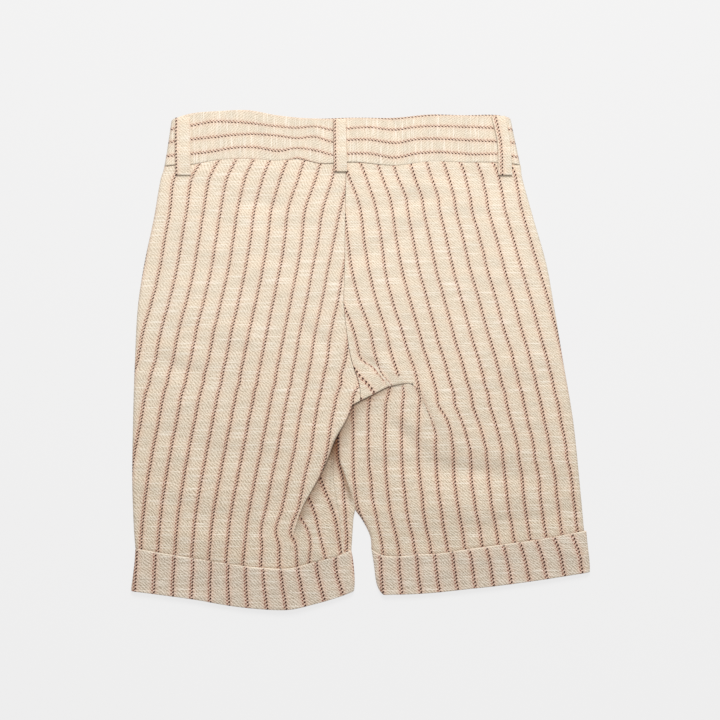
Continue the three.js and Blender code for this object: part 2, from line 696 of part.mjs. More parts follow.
// A turn-up: a flattened tube of doubled cloth round the end of a leg
function turnUp(table, outerSide, innerSide, swell) {
  const top = track(table, 'x', 'top');
  const hem = track(table, 'x', 'hem');
  const first = track(CUFF_SIDES, 'part', outerSide);
  const second = track(CUFF_SIDES, 'part', innerSide);
  const grids = [0, 0.05, 0.35, 0.65, 0.95, 1].map((part) => {
    const ends = [first(part), second(part)].sort((a, b) => a - b);
    const [start, end] = [ends[0] + CUFF_ROLL, ends[1] - CUFF_ROLL];
    const round = part === 0 || part === 1 ? CUFF_ROUND : 0;
    const height = (x) => {
      const bulge = swell.rise * Math.exp(-(((x - swell.x) / swell.wide) ** 2));
      return mix(CUFF_TOP, CUFF_HEM, part) + bulge + wave(CUFF_WAVE, x);
    };
    const ring = (inset, low, upper) => {
      const halfTurn = (x, side) => steps(20, 160, 4, true).map((angle) => {
        const [s, c] = [Math.sin(degrees(angle)), Math.cos(degrees(angle))];
        const middle = (low + upper(x)) / 2;
        return [x + side * (CUFF_ROLL - inset) * s, middle - side * (middle - low) * c];
      });
      return [
        ...steps(start, end, 15, true).map((x) => [x, low]),
        ...halfTurn(end, 1),
        ...steps(end, start, 16, true).map((x) => [x, upper(x)]),
        ...halfTurn(start, -1),
      ].map(([x, z]) => [x, mix(top(x), hem(x), part), z]);
    };
    return {
      outer: ring(0, 0, (x) => height(x) - round),
      inner: ring(DOUBLED, DOUBLED, (x) => height(x) - DOUBLED),
    };
  });
  return wall(grids.map((row) => row.outer), grids.map((row) => row.inner), true);
}

// The garment

const LEG_CLOTH = { color: 0xe0cfb4, roughness: 0.92, metalness: 0 };
const BAND_CLOTH = { color: 0xe6d6bc, roughness: 0.92, metalness: 0 };
const LOOP_CLOTH = { color: 0xe2d1b6, roughness: 0.92, metalness: 0 };
const CUFF_CLOTH = { color: 0xd6c4a9, roughness: 0.92, metalness: 0 };

const shorts = new THREE.Group();

function add(name, geometry, finish) {
  const mesh = new THREE.Mesh(geometry, new THREE.MeshStandardMaterial(finish));
  mesh.name = name;
  shorts.add(mesh);
}

const bandInset = DOUBLED + 3 * GAP;
const leftBandEnd = (level) => leftSide(level) + bandInset;
const rightBandEnd = (level) => rightSide(level) - bandInset;

add('front_left', frontLeft(), LEG_CLOTH);
add('front_right', frontRight(), LEG_CLOTH);
add('back_left', backLeft(), LEG_CLOTH);
add('back_right', backRight(), LEG_CLOTH);
add('waistband_back', bandBack(), BAND_CLOTH);
add('waistband_front_left', bandFront(leftBandEnd, () => BAND_MEETS - GAP / 2), BAND_CLOTH);
add('waistband_front_right', bandFront(() => BAND_MEETS + GAP / 2, rightBandEnd), BAND_CLOTH);
LOOPS.forEach(({ name, edges }) => add(name, beltLoop(edges), LOOP_CLOTH));
add('cuff_left', turnUp(LEFT_CUFF, 'leftOuter', 'leftInner', LEFT_SWELL), CUFF_CLOTH);
add('cuff_right', turnUp(RIGHT_CUFF, 'rightInner', 'rightOuter', RIGHT_SWELL), CUFF_CLOTH);

export default shorts;
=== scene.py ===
import math

import bpy
import numpy as np
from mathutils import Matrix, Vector


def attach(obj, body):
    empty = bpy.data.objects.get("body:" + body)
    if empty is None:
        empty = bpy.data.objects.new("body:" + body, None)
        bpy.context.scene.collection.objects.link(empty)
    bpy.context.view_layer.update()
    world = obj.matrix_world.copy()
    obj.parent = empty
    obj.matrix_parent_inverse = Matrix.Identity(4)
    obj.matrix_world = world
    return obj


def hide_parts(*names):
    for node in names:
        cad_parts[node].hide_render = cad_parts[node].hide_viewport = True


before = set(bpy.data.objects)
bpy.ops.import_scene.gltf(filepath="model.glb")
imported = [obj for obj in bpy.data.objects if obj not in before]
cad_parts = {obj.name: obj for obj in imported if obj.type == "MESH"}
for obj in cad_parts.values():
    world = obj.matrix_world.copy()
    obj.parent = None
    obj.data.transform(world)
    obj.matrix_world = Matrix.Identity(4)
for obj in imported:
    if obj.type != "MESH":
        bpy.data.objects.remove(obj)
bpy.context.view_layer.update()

bl_info = {
    "name": "Striped bermuda shorts",
    "version": (1, 0, 0),
    "blender": (4, 5, 0),
    "location": "3D View > Sidebar > Shorts",
    "description": "A child's striped bermuda shorts laid flat, back upwards, on a pale floor",
    "category": "Add Mesh",
}

MM = 0.001
STRIPE_PITCH = 12.7  # millimetres from one stripe of the cloth to the next

# Tables in millimetres: X across the garment, Y towards the waist, Z away from the floor


def table(names, *rows):
    """A short table with named columns, as one array a column."""
    return dict(zip(names.split(), np.array(rows, float).T))


# The garment's side edges
SIDES = table(
    "y left right",
    (181, -141.9, 112.6),
    (146, -147.6, 120.3),
    (138, -150, 121.2),
    (108, -154.9, 129.4),
    (72, -162.4, 139.6),
    (40, -167.2, 145.4),
    (0, -169.4, 152),
    (-45, -170.8, 159.6),
    (-90, -171.4, 164.4),
    (-128, -170.2, 167.9),
    (-145, -169, 169.3),
)

# The waistband's upper edge and its seam with the panels
BAND = table(
    "x top seam",
    (-148, 176.5, 145.3),
    (-139, 181, 146),
    (-126, 184.8, 146.4),
    (-106, 186.5, 149.8),
    (-84, 187.1, 150.4),
    (-64, 183.5, 149.2),
    (-46, 181.4, 150.2),
    (-29, 180.8, 147.1),
    (-5, 181.6, 148.2),
    (25, 181.4, 145.6),
    (52, 183.8, 148.4),
    (78, 183.3, 147.9),
    (100, 183.6, 148),
    (111, 181.6, 147.3),
    (121, 178, 145.8),
)

# The centre back seam
SEAM = table(
    "y x",
    (148, -10.8),
    (105, -11.5),
    (60, -12.1),
    (42, -12.6),
    (21, -10.4),
    (6, -8.2),
    (-6, -5.2),
    (-15, -1.9),
    (-23, -0.3),
    (-30.5, -0.3),
)

# The fold in which the left half hangs over the crotch: its edge, the heights of its crest and
# of the cloth below it, and how deep it is turned under
LEFT_FOLD = table(
    "y x crest below depth",
    (-30.5, -0.4, 6.0, 3.4, 1.8),
    (-34, -5.6, 5.7, 3.7, 2.5),
    (-40, -8.2, 6.0, 3.6, 4.5),
    (-48, -12.1, 6.4, 3.1, 6),
    (-55, -16.3, 6.8, 2.1, 5),
    (-62, -19.9, 6.9, 1.9, 4),
    (-76, -25.1, 6.4, 2.7, 3),
    (-90, -32, 5.8, 3.4, 2.4),
    (-108, -42.2, 5.3, 3.8, 1.6),
    (-121, -47.9, 4.9, 4.0, 0.6),
    (-131, -51.9, 4.6, 4.3, 0),
    (-142, -53, 4.2, 4.2, 0),
    (-156, -53.4, 3.8, 3.8, 0),
)

# The fold in which the right half hangs over its leg, and the crease in which it dies out
RIGHT_FOLD = table(
    "x y crest below depth",
    (-0.3, -30.7, 5.6, 3.7, 5),
    (8, -26.5, 5.8, 3.8, 4),
    (20, -20.5, 5.8, 4.0, 3),
    (33, -17.5, 5.4, 4.3, 1.6),
    (38, -17.8, 5.0, 4.8, 0.3),
    (44, -23, 4.9, 4.9, 0),
    (51.5, -42, 4.9, 4.9, 0),
    (58, -54, 4.9, 4.9, 0),
)
PAST_FOLD = table("x y", (78, -63), (110, -67), (165, -68))

# The right leg's inner edge
RIM = table(
    "y x",
    (-24, -6.4),
    (-31, -9.6),
    (-39, -13.2),
    (-49, -16.2),
    (-60, -17.3),
    (-73, -16.9),
    (-88, -12.1),
    (-103, -7.3),
    (-112.5, -4),
    (-118, -0.1),
    (-127, 5),
    (-134, 7.6),
    (-143, 8.2),
)

# The left leg's inseam on top of the leg, and the height of the cloth there
INSEAM = table(
    "y x high",
    (-48, -18.4, 1.5),
    (-60, -18.6, 1.5),
    (-70, -20.4, 1.8),
    (-90, -20.6, 3),
    (-103.5, -18.4, 3.2),
    (-121, -15.4, 3.2),
    (-145, -13.9, 3.2),
)

# Where the two fronts meet, and below that the left leg's inner edge
FRONT_MIDDLE = table(
    "y x",
    (148, -10.8),
    (20, -9),
    (-20, -8.4),
    (-31, -10.4),
    (-39, -14),
    (-49, -16.9),
    (-60, -17.9),
    (-70, -17.8),
    (-90, -12.3),
    (-103, -8),
    (-112.5, -5),
    (-121, -5.4),
    (-131, -6.2),
    (-145, -7),
)

# The turn-ups' upper edges and hems
LEFT_CUFF = table(
    "x top hem",
    (-172, -140.6, -173.2),
    (-150, -144.4, -176),
    (-124, -148.5, -179.6),
    (-99, -152.5, -184),
    (-76, -155.3, -186.6),
    (-54, -155.9, -187.1),
    (-37, -151.9, -183.6),
    (-18, -147, -178.2),
    (-4, -141, -173),
)
RIGHT_CUFF = table(
    "x top hem",
    (8, -141.8, -176.2),
    (16, -146.1, -176.1),
    (27, -147.1, -175.8),
    (42, -145.6, -175.3),
    (57, -145, -174.2),
    (79, -141.8, -171.8),
    (104, -138.4, -169.1),
    (136, -133.9, -164.7),
    (172, -127.3, -159),
)

# The turn-ups' side edges, from the upper edge (0) to the hem (1)
CUFF_SIDES = table(
    "part left_outer left_inner right_inner right_outer",
    (0, -168.8, -6.9, 8.2, 169.3),
    (0.3, -169.4, -5.4, 10, 170.2),
    (0.7, -170.9, -4.4, 11.8, 171.6),
    (0.9, -171.8, -4.5, 14.4, 172),
    (1, -172, -5, 17, 172),
)
LEFT_SIDES, RIGHT_SIDES = ("left_outer", "left_inner"), ("right_inner", "right_outer")

# Soft ridges (rise over 0) and troughs: middle, turn from +X in degrees, half length, half width
SOFT_FOLDS = table(
    "x y turn long wide rise",
    (78, -83, -6, 48, 9, -1.6),
    (36, -60, -42, 20, 7, -1.5),
    (52, -32, -60, 24, 9, 1.1),
    (46, -33, -60, 17, 3, -0.35),
    (22, 88, 24, 30, 7, -0.8),
    (37, 118, 14, 22, 6, -0.7),
    (84, 137, -3, 36, 6, -0.6),
    (9, 44, 88, 42, 12, 0.8),
    (-31, 15, -36, 18, 6, -0.6),
    (-41, -17, 86, 16, 7, -0.6),
    (-76, 119, -4, 20, 6, -0.6),
    (-136, -7, -20, 30, 8, -0.8),
    (-64, -110, 72, 18, 8, -1.2),
    (-120, -134, -8, 26, 9, 0.9),
    (70, -112, 4, 40, 12, 0.9),
    (9, -3, -30, 12, 3.4, -0.7),
    (24, -9, -38, 14, 5, 0.6),
    (-60, 60, -22, 40, 10, 0.4),
    (-120, 70, -12, 34, 9, -0.35),
    (-95, 20, -28, 38, 10, 0.4),
    (92, 40, 20, 40, 10, -0.35),
    (112, -8, 14, 36, 9, 0.4),
    (-100, -70, -14, 44, 10, -0.6),
    (-128, -100, -10, 34, 9, 0.35),
    (120, -120, 8, 34, 9, -0.7),
)

# Stripes: for some rows, where across the cloth the numbered stripes of each area lie
LEFT_STRIPES = table(
    "y 0 6 9 11",
    (150, -106, -29, 7, 30),
    (143, -110, -31.5, 4, 27.5),
    (135, -113.6, -33.8, 3, 26),
    (112.5, -117.4, -41.6, -2, 24),
    (90, -121.1, -43.9, -7.9, 16),
    (67.5, -124.9, -47.6, -13.1, 12),
    (45, -130.1, -52.1, -16.9, 10),
    (22.5, -136.1, -56.6, -22.1, 6),
    (0, -140.6, -61.1, -25.1, 2),
    (-11, -143.8, -63.2, -27.5, -1.6),
    (-18, -145, -64, -28.8, -0.7),
    (-22.5, -146.6, -65.6, -29.6, -3.5),
    (-28, -148, -66.6, -30.8, -5.6),
    (-33, -149, -67.6, -32, -6),
    (-45, -151.1, -70.1, -34.1, -9),
    (-67.5, -155.6, -74.6, -37.1, -13),
    (-90, -159.4, -79.1, -42.4, -18),
    (-112.5, -162.4, -83.6, -46.9, -24),
    (-122, -163.4, -85, -51.2, -28),
    (-130, -164, -85.8, -52.3, -29.5),
    (-138, -164.5, -86.6, -48.6, -29.2),
    (-150, -165, -88, -47.6, -26.5),
    (-170, -166, -89, -47, -26),
)
INNER_STRIPES = table(
    "y 9 10 11 12",
    (-85, -80, -65, -48, -31.8),
    (-100, -67, -54, -41, -26),
    (-105, -63, -51, -38, -24),
    (-116, -57, -46.5, -34, -19.9),
    (-123, -53, -41.6, -32.6, -18.4),
    (-130, -52.3, -38.2, -31.3, -17.2),
    (-138, -48.6, -37.4, -29.2, -15.8),
    (-150, -47.6, -38.6, -26.2, -14.3),
    (-165, -47, -39, -26, -14),
)
STRIP_STRIPES = table(
    "y 1",
    (-50, -18.6),
    (-57.6, -17.8),
    (-65, -17.2),
    (-74, -16.9),
    (-83, -14.9),
    (-91, -13.3),
    (-100.5, -12.7),
    (-111, -11.7),
    (-121.5, -11.2),
    (-132, -10.1),
    (-141, -10.6),
    (-165, -11),
)
SEAT_STRIPES = table(
    "y 1 2 3 4 5 6 7 11 14",
    (150, -50, -37.6, -25.2, -13.4, -1, 12, 24.2, 74, 110.5),
    (139.2, -46.5, -34, -21.7, -9.4, 3.2, 15.5, 26.8, 78, 115.6),
    (129.8, -43, -30.6, -18.2, -5.6, 6.5, 19, 30.8, 80.3, 117.5),
    (121.5, -40, -27.5, -15, -2.5, 9.6, 22, 34.1, 82.2, 119),
    (112.5, -37, -25, -12.5, 0, 11.8, 23.8, 35.3, 83.3, 120.7),
    (90, -34, -21.5, -9.5, 2.6, 15.8, 27, 39.4, 89.6, 127.1),
    (67.5, -31.5, -19, -6.5, 6.4, 18.4, 31, 43.9, 94.9, 133.9),
    (45, -27, -14, -1.1, 11.6, 23.6, 37, 49.9, 101.6, 140.6),
    (22.5, -17, -5.3, 7.1, 18.8, 30.8, 43.5, 55.9, 107.6, 146.6),
    (11, -12, -2.6, 9.4, 21.4, 34.1, 46.5, 58.9, 111.4, 149.6),
    (0, -9.4, 0.8, 12, 24.4, 37.9, 50, 62.6, 114.4, 152.6),
    (-5.2, -5.6, 9.4, 13.1, 26.3, 39.8, 51.6, 64.1, 115.5, 153.8),
    (-11.2, -1.5, 14.6, 16.1, 28.1, 41.6, 53.6, 65.6, 117.4, 155.6),
    (-18, 5.3, 20.4, 22, 32, 43.1, 55.4, 67.5, 118.5, 157),
    (-24.7, 10.2, 24, 27, 34.5, 44.3, 57, 69.8, 120.8, 158),
    (-33.7, 16, 28, 32, 38, 47.4, 58.2, 70.9, 122.6, 160.9),
    (-45, 22, 33, 38, 43, 52.6, 64.9, 75.4, 124.9, 162.4),
    (-56.2, 28, 38, 42, 48, 56.2, 67.9, 79.2, 127.9, 164.6),
    (-67.5, 5.8, 18.5, 30.8, 43.1, 56.2, 69.4, 82.1, 130.1, 166.5),
)
LEG_STRIPES = table(
    "y 0 1 2 4 5 7 11 14",
    (-18, -6.5, 9, 22.5, 40.5, 53, 70, 121, 157),
    (-27, -6, 7.2, 20.4, 44.2, 56, 71, 122, 159),
    (-33.7, -6, 6.3, 18.9, 43.8, 56, 72, 122.6, 160.9),
    (-40, -5.9, 5.6, 18.8, 43.6, 56, 73.5, 124, 162),
    (-50, -5.6, 5.7, 18.4, 43.1, 56, 78.5, 126.5, 163.5),
    (-67.5, -5.5, 5.8, 18.5, 43.1, 56.2, 82.1, 130.1, 166.5),
    (-78.8, -5.4, 6.3, 18.8, 43.5, 56.8, 83, 132, 168.5),
    (-90, -4.7, 7.9, 19.4, 44.6, 57.4, 83.2, 133.9, 170.2),
    (-101, -3.5, 8.6, 20.6, 46.1, 58.6, 84.6, 134.6, 171.5),
    (-112.5, -1.5, 10.9, 22.1, 47, 60.4, 86.2, 136.1, 173),
    (-123.8, 3, 13.1, 24.6, 48.8, 62, 88.9, 137.6, 174),
    (-135, 6, 15.4, 27.4, 51.4, 64.1, 90.4, 139.5, 176),
    (-165, 8, 19, 32, 56, 69, 95, 145, 182),
)
LEFT_CUFF_STRIPES = table(
    "y 0 3 6 9 11",
    (-140, -167.8, -124.9, -85, -46.5, -19),
    (-157, -168.4, -125.6, -85.9, -46.9, -18.4),
    (-169, -169.1, -126.4, -85.9, -44.6, -15.4),
    (-180, -169.6, -126.8, -85, -42.4, -12),
    (-190, -170, -127, -84.4, -41, -10),
)
RIGHT_CUFF_STRIPES = table(
    "y 0 3 6 9 11",
    (-125, 10, 50, 90, 128, 156),
    (-146, 14.6, 55.5, 95.6, 135.4, 163.9),
    (-157, 15.4, 56.6, 97.9, 138, 165.4),
    (-169, 16.1, 58.5, 99.4, 141, 168),
    (-180, 17, 60, 101, 144, 171),
)
BAND_STRIPES = table(
    "x 0 1 2 3",
    (-148, 182, 171.8, 162.5, 152.2),
    (-137, 184, 173.5, 164, 153.5),
    (-124, 186.5, 176, 165.5, 154.6),
    (-112, 188.5, 178.4, 166.6, 156),
    (-94, 188.8, 178.2, 168.6, 159),
    (-78, 187.6, 176.6, 169.2, 159.2),
    (-62, 184.6, 174.6, 168, 156.6),
    (-48, 182.2, 173.8, 166, 158.6),
    (-34, 181.4, 174.8, 167.2, 157),
    (-21, 181.2, 172.2, 163.6, 153.8),
    (-5, 182, 173.8, 165.2, 154.6),
    (8, 181.6, 174.4, 165, 154.4),
    (25, 180.8, 172.4, 162.6, 151.6),
    (42, 182.4, 174.6, 165.2, 154.6),
    (60, 183.8, 175.1, 165.6, 155.6),
    (84, 183.6, 174.4, 164.4, 154),
    (103, 183.6, 173.6, 163.6, 154.2),
    (120, 181, 172, 162, 151.5),
)

# Spots where stripes vanish in a crease: middle and half width
BARE_SPOTS = table("x y wide", (30, -15.5, 4.2), (13, -14, 2.2), (20, -18, 2))

# Belt loops: side edges at the upper edge, the middle and below, and the stripe's place
LOOPS = {
    "left_loop": (
        "belt_loop_left",
        table("y left right", (181.4, -138.6, -127.6), (162, -138.7, -127.4), (138.4, -138.4, -127)),
        0.03,
    ),
    "centre_loop": (
        "belt_loop_centre",
        table("y left right", (180.2, -20.4, -10.9), (161, -20.2, -10.4), (141, -19.9, -9.8)),
        0.1,
    ),
    "right_loop": (
        "belt_loop_right",
        table("y left right", (182.6, 97.8, 108.2), (162.4, 102.3, 111.9), (138.4, 103, 113.6)),
        0.26,
    ),
}

GAP = 0.3  # between the two fronts
ROLL = 3  # radius of a panel's rolled side edge
CUFF_ROLL = 3.2  # radius of a turn-up's side edges
SEAM_ROUND = 0.6  # radius of a panel's edge at the centre seam
SEAM_GAP = 0.08  # between the two halves at the centre seam
BAND_DEPTH, LOOP_WIDTH, CUFF_DEPTH = 35, 11, 32
PLAIN_CREST = 3.5  # height at which a fold's crest lifts nothing
FOLD_ROUND = 0.5  # radius of a fold as a share of its height above the cloth below
FOLD_REACH = 18  # how far back from a fold its crest lifts the panel
DEPTH_OF_FOLDS = 1.9  # factor of all the soft folds
FOLD_END, FOLD_FADE = 56, 12  # where the right fold has died out, and over what length
FOLD_JOIN = 60  # from here on the right seat and leg have the same columns
# Rows at the waist seam, the crotch, where the legs part and the turn-ups
WAIST_LEVEL, CROTCH_LEVEL, SPLIT_LEVEL, HEM_LEVEL = 147.5, -30.5, -48, -144
SIDE_OF_FOLD = -68  # where the line of the right fold meets the side edge
STRIP_LEVEL = -50  # below it the left front comes round on top of the leg
FRONT_SEAM = 145  # upper edge of the fronts
BEND = 34  # height over which the rows bend to follow the waist seam and the turn-ups
TUCK, TUCK_SIDE, TUCK_DROP = 7, 2.6, 1.4  # how panels run on under the band and the turn-ups
BAND_TOP_LEVEL = 181
# In metres
KEY_PLACE, KEY_SIZE = (0.08, 0.88, 1.12), 0.6
FLOOR_REACH, FLOOR_DROP = 4.0, 0.0003


# Curves and grids


def curve(rows, across, down):
    """The smooth cubic through a table's rows: one column as a function of another."""
    order = np.argsort(rows[across])
    px, py = rows[across][order], rows[down][order]
    last = len(px) - 1
    if last == 0:
        return lambda v: np.full(np.shape(v), py[0])
    i = np.arange(last + 1)
    before, after = np.maximum(i - 1, 0), np.minimum(i + 1, last)
    slope = (py[after] - py[before]) / (px[after] - px[before])

    def value(v):
        """Hermite's cubic between the rows on either side, level beyond the first and last."""
        v = np.clip(v, px[0], px[-1])
        k = np.clip(np.searchsorted(px, v, side="right") - 1, 0, last - 1)
        span = px[k + 1] - px[k]
        t = (v - px[k]) / span
        near = py[k] * (1 + 2 * t) + span * slope[k] * t
        far = py[k + 1] * (3 - 2 * t) - span * slope[k + 1] * (1 - t)
        return near * (1 - t) ** 2 + far * t**2

    return value


def mix(a, b, t):
    """The straight mixture: a where t is 0, b where it is 1."""
    return a + (b - a) * t


def bell(distance, reach):
    """1 at distance 0 and 1/e at the reach: the exponential of minus their ratio squared."""
    return np.exp(-((distance / reach) ** 2))


def from_zero(value, least):
    """The value, but 0 where it is less than `least`, so that a fold closes without slivers."""
    return np.where(value < least, 0, value)


def smooth(t):
    """0 below 0, 1 above 1, and an S-curve between."""
    c = np.clip(t, 0, 1)
    return c * c * (3 - 2 * c)


def stripe_number(stripes, key="y"):
    """The stripe number at a point: at the row through it, straight between the table's stripes."""
    numbers = [name for name in stripes if name != key]
    tracks = [curve(stripes, key, name) for name in numbers]

    def value(place, row):
        """The number straight between the two stripes on either side in this row."""
        if len(numbers) == 1:
            return float(numbers[0]) + (place - tracks[0](row)) / STRIPE_PITCH
        result = None
        for k in range(len(numbers) - 1):
            a, b = tracks[k](row), tracks[k + 1](row)
            low, high = float(numbers[k]), float(numbers[k + 1])
            here = low + (place - a) / (b - a) * (high - low)
            result = here if result is None else np.where((place - a) * np.sign(b - a) > 0, here, result)
        return result

    return value


left_side = curve(SIDES, "y", "left")
right_side = curve(SIDES, "y", "right")
band_top = curve(BAND, "x", "top")
band_seam = curve(BAND, "x", "seam")
centre_seam = curve(SEAM, "y", "x")
rim = curve(RIM, "y", "x")
inseam = curve(INSEAM, "y", "x")
inseam_height = curve(INSEAM, "y", "high")
front_middle = curve(FRONT_MIDDLE, "y", "x")
left_cuff_top = curve(LEFT_CUFF, "x", "top")
right_cuff_top = curve(RIGHT_CUFF, "x", "top")
left_fold = {name: curve(LEFT_FOLD, "y", name) for name in ("x", "crest", "below", "depth")}
left_crest = curve(
    {
        "y": np.concatenate([[20, -8], LEFT_FOLD["y"]]),
        "crest": np.concatenate([[3.5, 4.3], LEFT_FOLD["crest"]]),
    },
    "y",
    "crest",
)
right_fold = {name: curve(RIGHT_FOLD, "x", name) for name in ("crest", "below", "depth")}
right_fold_line = curve(
    {key: np.concatenate([RIGHT_FOLD[key], PAST_FOLD[key]]) for key in ("x", "y")}, "x", "y"
)


def soft_folds(x, y):
    """The sum of the soft ridges, each a bell in length and width, and of a slow unevenness."""
    total = np.zeros(np.broadcast(x, y).shape)
    for fx, fy, turn, long, wide, rise in zip(*SOFT_FOLDS.values()):
        c, s = math.cos(math.radians(turn)), math.sin(math.radians(turn))
        along, across = (x - fx) * c + (y - fy) * s, (y - fy) * c - (x - fx) * s
        total = total + DEPTH_OF_FOLDS * rise * np.exp(-((along / long) ** 2) - (across / wide) ** 2)
    slow = np.sin(x / 13.1 + 1.3 * np.sin(y / 21)) * np.sin(y / 15.7 + 1.1 * np.sin(x / 27))
    quick = np.sin(x / 4.7 + 2 * np.sin(y / 9.3)) * np.sin(y / 5.9 + 1.7 * np.sin(x / 11.3))
    return total + 0.13 * slow + 0.035 * quick


def lie(x, y, across, sizes):
    """A back panel's upper side: low at its edges, puffed in the middle, with the soft folds."""
    return sizes.lie / MM + sizes.puff / MM * np.sin(np.pi * np.clip(across, 0, 1)) + soft_folds(x, y)


def cuff_shade(x, y, cuff_top):
    """The narrow shade on a leg along the upper edge of its turn-up."""
    return 0.4 * bell(y - cuff_top(x), 1.3)


def painted_shade(x, y):
    """How much painted shade a point gets deep down between the legs: along the left fold's edge,
    along the right leg's edge, and all over where both come close."""
    by_fold = 0.66 * bell(np.maximum(x - left_fold["x"](y), 0), 7) * smooth((y + 138) / 26)
    by_rim = 0.7 * bell(np.maximum(rim(y) - x, 0), 2.4) * smooth((y + 114) / 16)
    between = smooth((y + 94) / 30)
    return np.maximum(np.maximum(by_fold, by_rim), between) * smooth((CROTCH_LEVEL - y) / 6)


def bent(x, level, waist_seam, cuff_top):
    """Bends a level row so that it follows the waist seam above and a turn-up below."""
    near_waist = smooth((level - WAIST_LEVEL + BEND) / BEND)
    near_cuff = smooth((HEM_LEVEL + BEND - level) / BEND)
    to_waist = waist_seam(x) - WAIST_LEVEL
    to_cuff = cuff_top(x) - HEM_LEVEL
    return level + near_waist * to_waist + near_cuff * to_cuff


def band_height(x, y, sizes):
    """The waistband's upper side, with waves that grow towards its upper edge."""
    ripple = 0.35 * np.sin((x + 96) / 22) + 0.25 * np.sin((x - 20) / 13) + 0.08 * np.sin(x / 5.3)
    return sizes.band_lie / MM + ripple * smooth((y - WAIST_LEVEL + 6) / 36)


# Meshes


def grid_triangles(rows, columns, start=0, ring=False):
    """Two triangles for each cell of a grid of points, rows by columns."""
    i, j = np.meshgrid(np.arange(rows - 1), np.arange(columns if ring else columns - 1), indexing="ij")
    a = start + i * columns + j
    b = start + (i + 1) * columns + j
    c = start + (i + 1) * columns + (j + 1) % columns
    d = start + i * columns + (j + 1) % columns
    quads = np.stack([a, b, c, d], axis=-1).reshape(-1, 4)
    return np.concatenate([quads[:, [0, 1, 2]], quads[:, [0, 2, 3]]])


def make_piece(name, points, cloth, triangles, edge=None, painted_shade=None):
    """Makes a mesh piece from arrays in millimetres: points that coincide become one, triangles
    that vanish or lie back to back go, and `cloth` gives stripe number and millimetres along."""
    _, first, same = np.unique(np.round(points, 3), axis=0, return_index=True, return_inverse=True)
    same = same.reshape(-1)
    merged = same[triangles]
    corners = np.sort(merged, axis=1)
    real = (corners[:, 0] != corners[:, 1]) & (corners[:, 1] != corners[:, 2])
    _, like, times = np.unique(corners, axis=0, return_inverse=True, return_counts=True)
    real &= times[like.reshape(-1)] == 1
    triangles, merged = triangles[real], merged[real]
    mesh = bpy.data.meshes.new(name)
    mesh.vertices.add(len(first))
    mesh.vertices.foreach_set("co", (points[first] * MM).astype(np.float32).ravel())
    mesh.loops.add(merged.size)
    mesh.loops.foreach_set("vertex_index", merged.astype(np.int32).ravel())
    mesh.polygons.add(len(merged))
    mesh.polygons.foreach_set("loop_start", np.arange(0, merged.size, 3, dtype=np.int32))
    mesh.polygons.foreach_set("use_smooth", np.ones(len(merged), bool))
    uv = mesh.uv_layers.new(name="cloth")
    uv.data.foreach_set("uv", cloth[triangles.ravel()].astype(np.float32).ravel())
    # edge holds a painted highlight along the turn-ups' upper edge (below 0) and how bare of stripes the
    # cloth is (above 0); the second holds the share of painted shade
    for label, values in (("edge", edge), ("painted_shade", painted_shade)):
        if values is not None:
            layer = mesh.attributes.new(label, "FLOAT", "CORNER")
            layer.data.foreach_set("value", values[triangles.ravel()].astype(np.float32))
    mesh.update(calc_edges=True)
    mesh.validate()
    piece = bpy.data.objects.new(name, mesh)
    bpy.context.scene.collection.objects.link(piece)
    return piece


def make_panel(name, made, thickness, edge=None, turned=False):
    """A panel from the grids of its points, stripe numbers and shares of painted shade. The cloth gets
    its thickness on the inner side. A turned panel has its outer side below."""
    points, number, deep = made
    cloth = np.stack([number, points[..., 1]], axis=-1).reshape(-1, 2)
    triangles = grid_triangles(*number.shape)
    triangles = triangles[:, ::-1] if turned else triangles
    piece = make_piece(name, points.reshape(-1, 3), cloth, triangles, edge, deep.ravel())
    solid = piece.modifiers.new("cloth thickness", "SOLIDIFY")
    solid.thickness = thickness
    solid.offset = -1
    solid.use_rim = True
    return piece


def wall(outer, inner, ring=False):
    """Points and triangles of a closed wall between two grids of the same size."""
    rows, columns = outer.shape[:2]
    count = rows * columns
    points = np.concatenate([outer.reshape(-1, 3), inner.reshape(-1, 3)])
    faces = [
        grid_triangles(rows, columns, 0, ring),
        grid_triangles(rows, columns, count, ring)[:, ::-1],
    ]
    j = np.arange(columns if ring else columns - 1)
    k = (j + 1) % columns
    last = (rows - 1) * columns
    faces.append(np.stack([j, k, count + k], axis=1))
    faces.append(np.stack([j, count + k, count + j], axis=1))
    faces.append(np.stack([last + k, last + j, count + last + j], axis=1))
    faces.append(np.stack([last + k, count + last + j, count + last + k], axis=1))
    if not ring:
        i = np.arange(rows - 1) * columns
        n = i + columns
        end = columns - 1
        faces.append(np.stack([n, i, count + i], axis=1))
        faces.append(np.stack([n, count + i, count + n], axis=1))
        faces.append(np.stack([i + end, n + end, count + n + end], axis=1))
        faces.append(np.stack([i + end, count + n + end, count + i + end], axis=1))
    return points, np.concatenate(faces)


def edge_rows(length, thickness, count):
    """Parts from 0 to 1 of a strip, close together at its two round edges, with the share of the
    wall's half thickness that it has there."""
    radius = thickness / 2
    angles = np.radians(np.linspace(0, 90, 6))
    near = radius * (1 - np.cos(angles)) / length
    middle = np.linspace(near[-1], 1 - near[-1], count)
    parts = np.concatenate([near[:-1], middle, (1 - near[:-1])[::-1]])
    share = np.concatenate([np.sin(angles)[:-1], np.ones(count), np.sin(angles)[:-1][::-1]])
    return parts, share


def finish_piece(piece, node, material):
    """Rides the piece on the garment, lets it stand for its solid and gives it its cloth."""
    piece.data.materials.append(material)
    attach(piece, "root")
    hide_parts(node)


# Shader groups and materials


def new_group(name, inputs, outputs):
    """An empty shader node group with named sockets."""
    tree = bpy.data.node_groups.new(name, "ShaderNodeTree")
    for label, kind, default in inputs:
        tree.interface.new_socket(label, in_out="INPUT", socket_type=kind).default_value = default
    for label, kind in outputs:
        tree.interface.new_socket(label, in_out="OUTPUT", socket_type=kind)
    return tree, tree.nodes.new("NodeGroupInput"), tree.nodes.new("NodeGroupOutput")


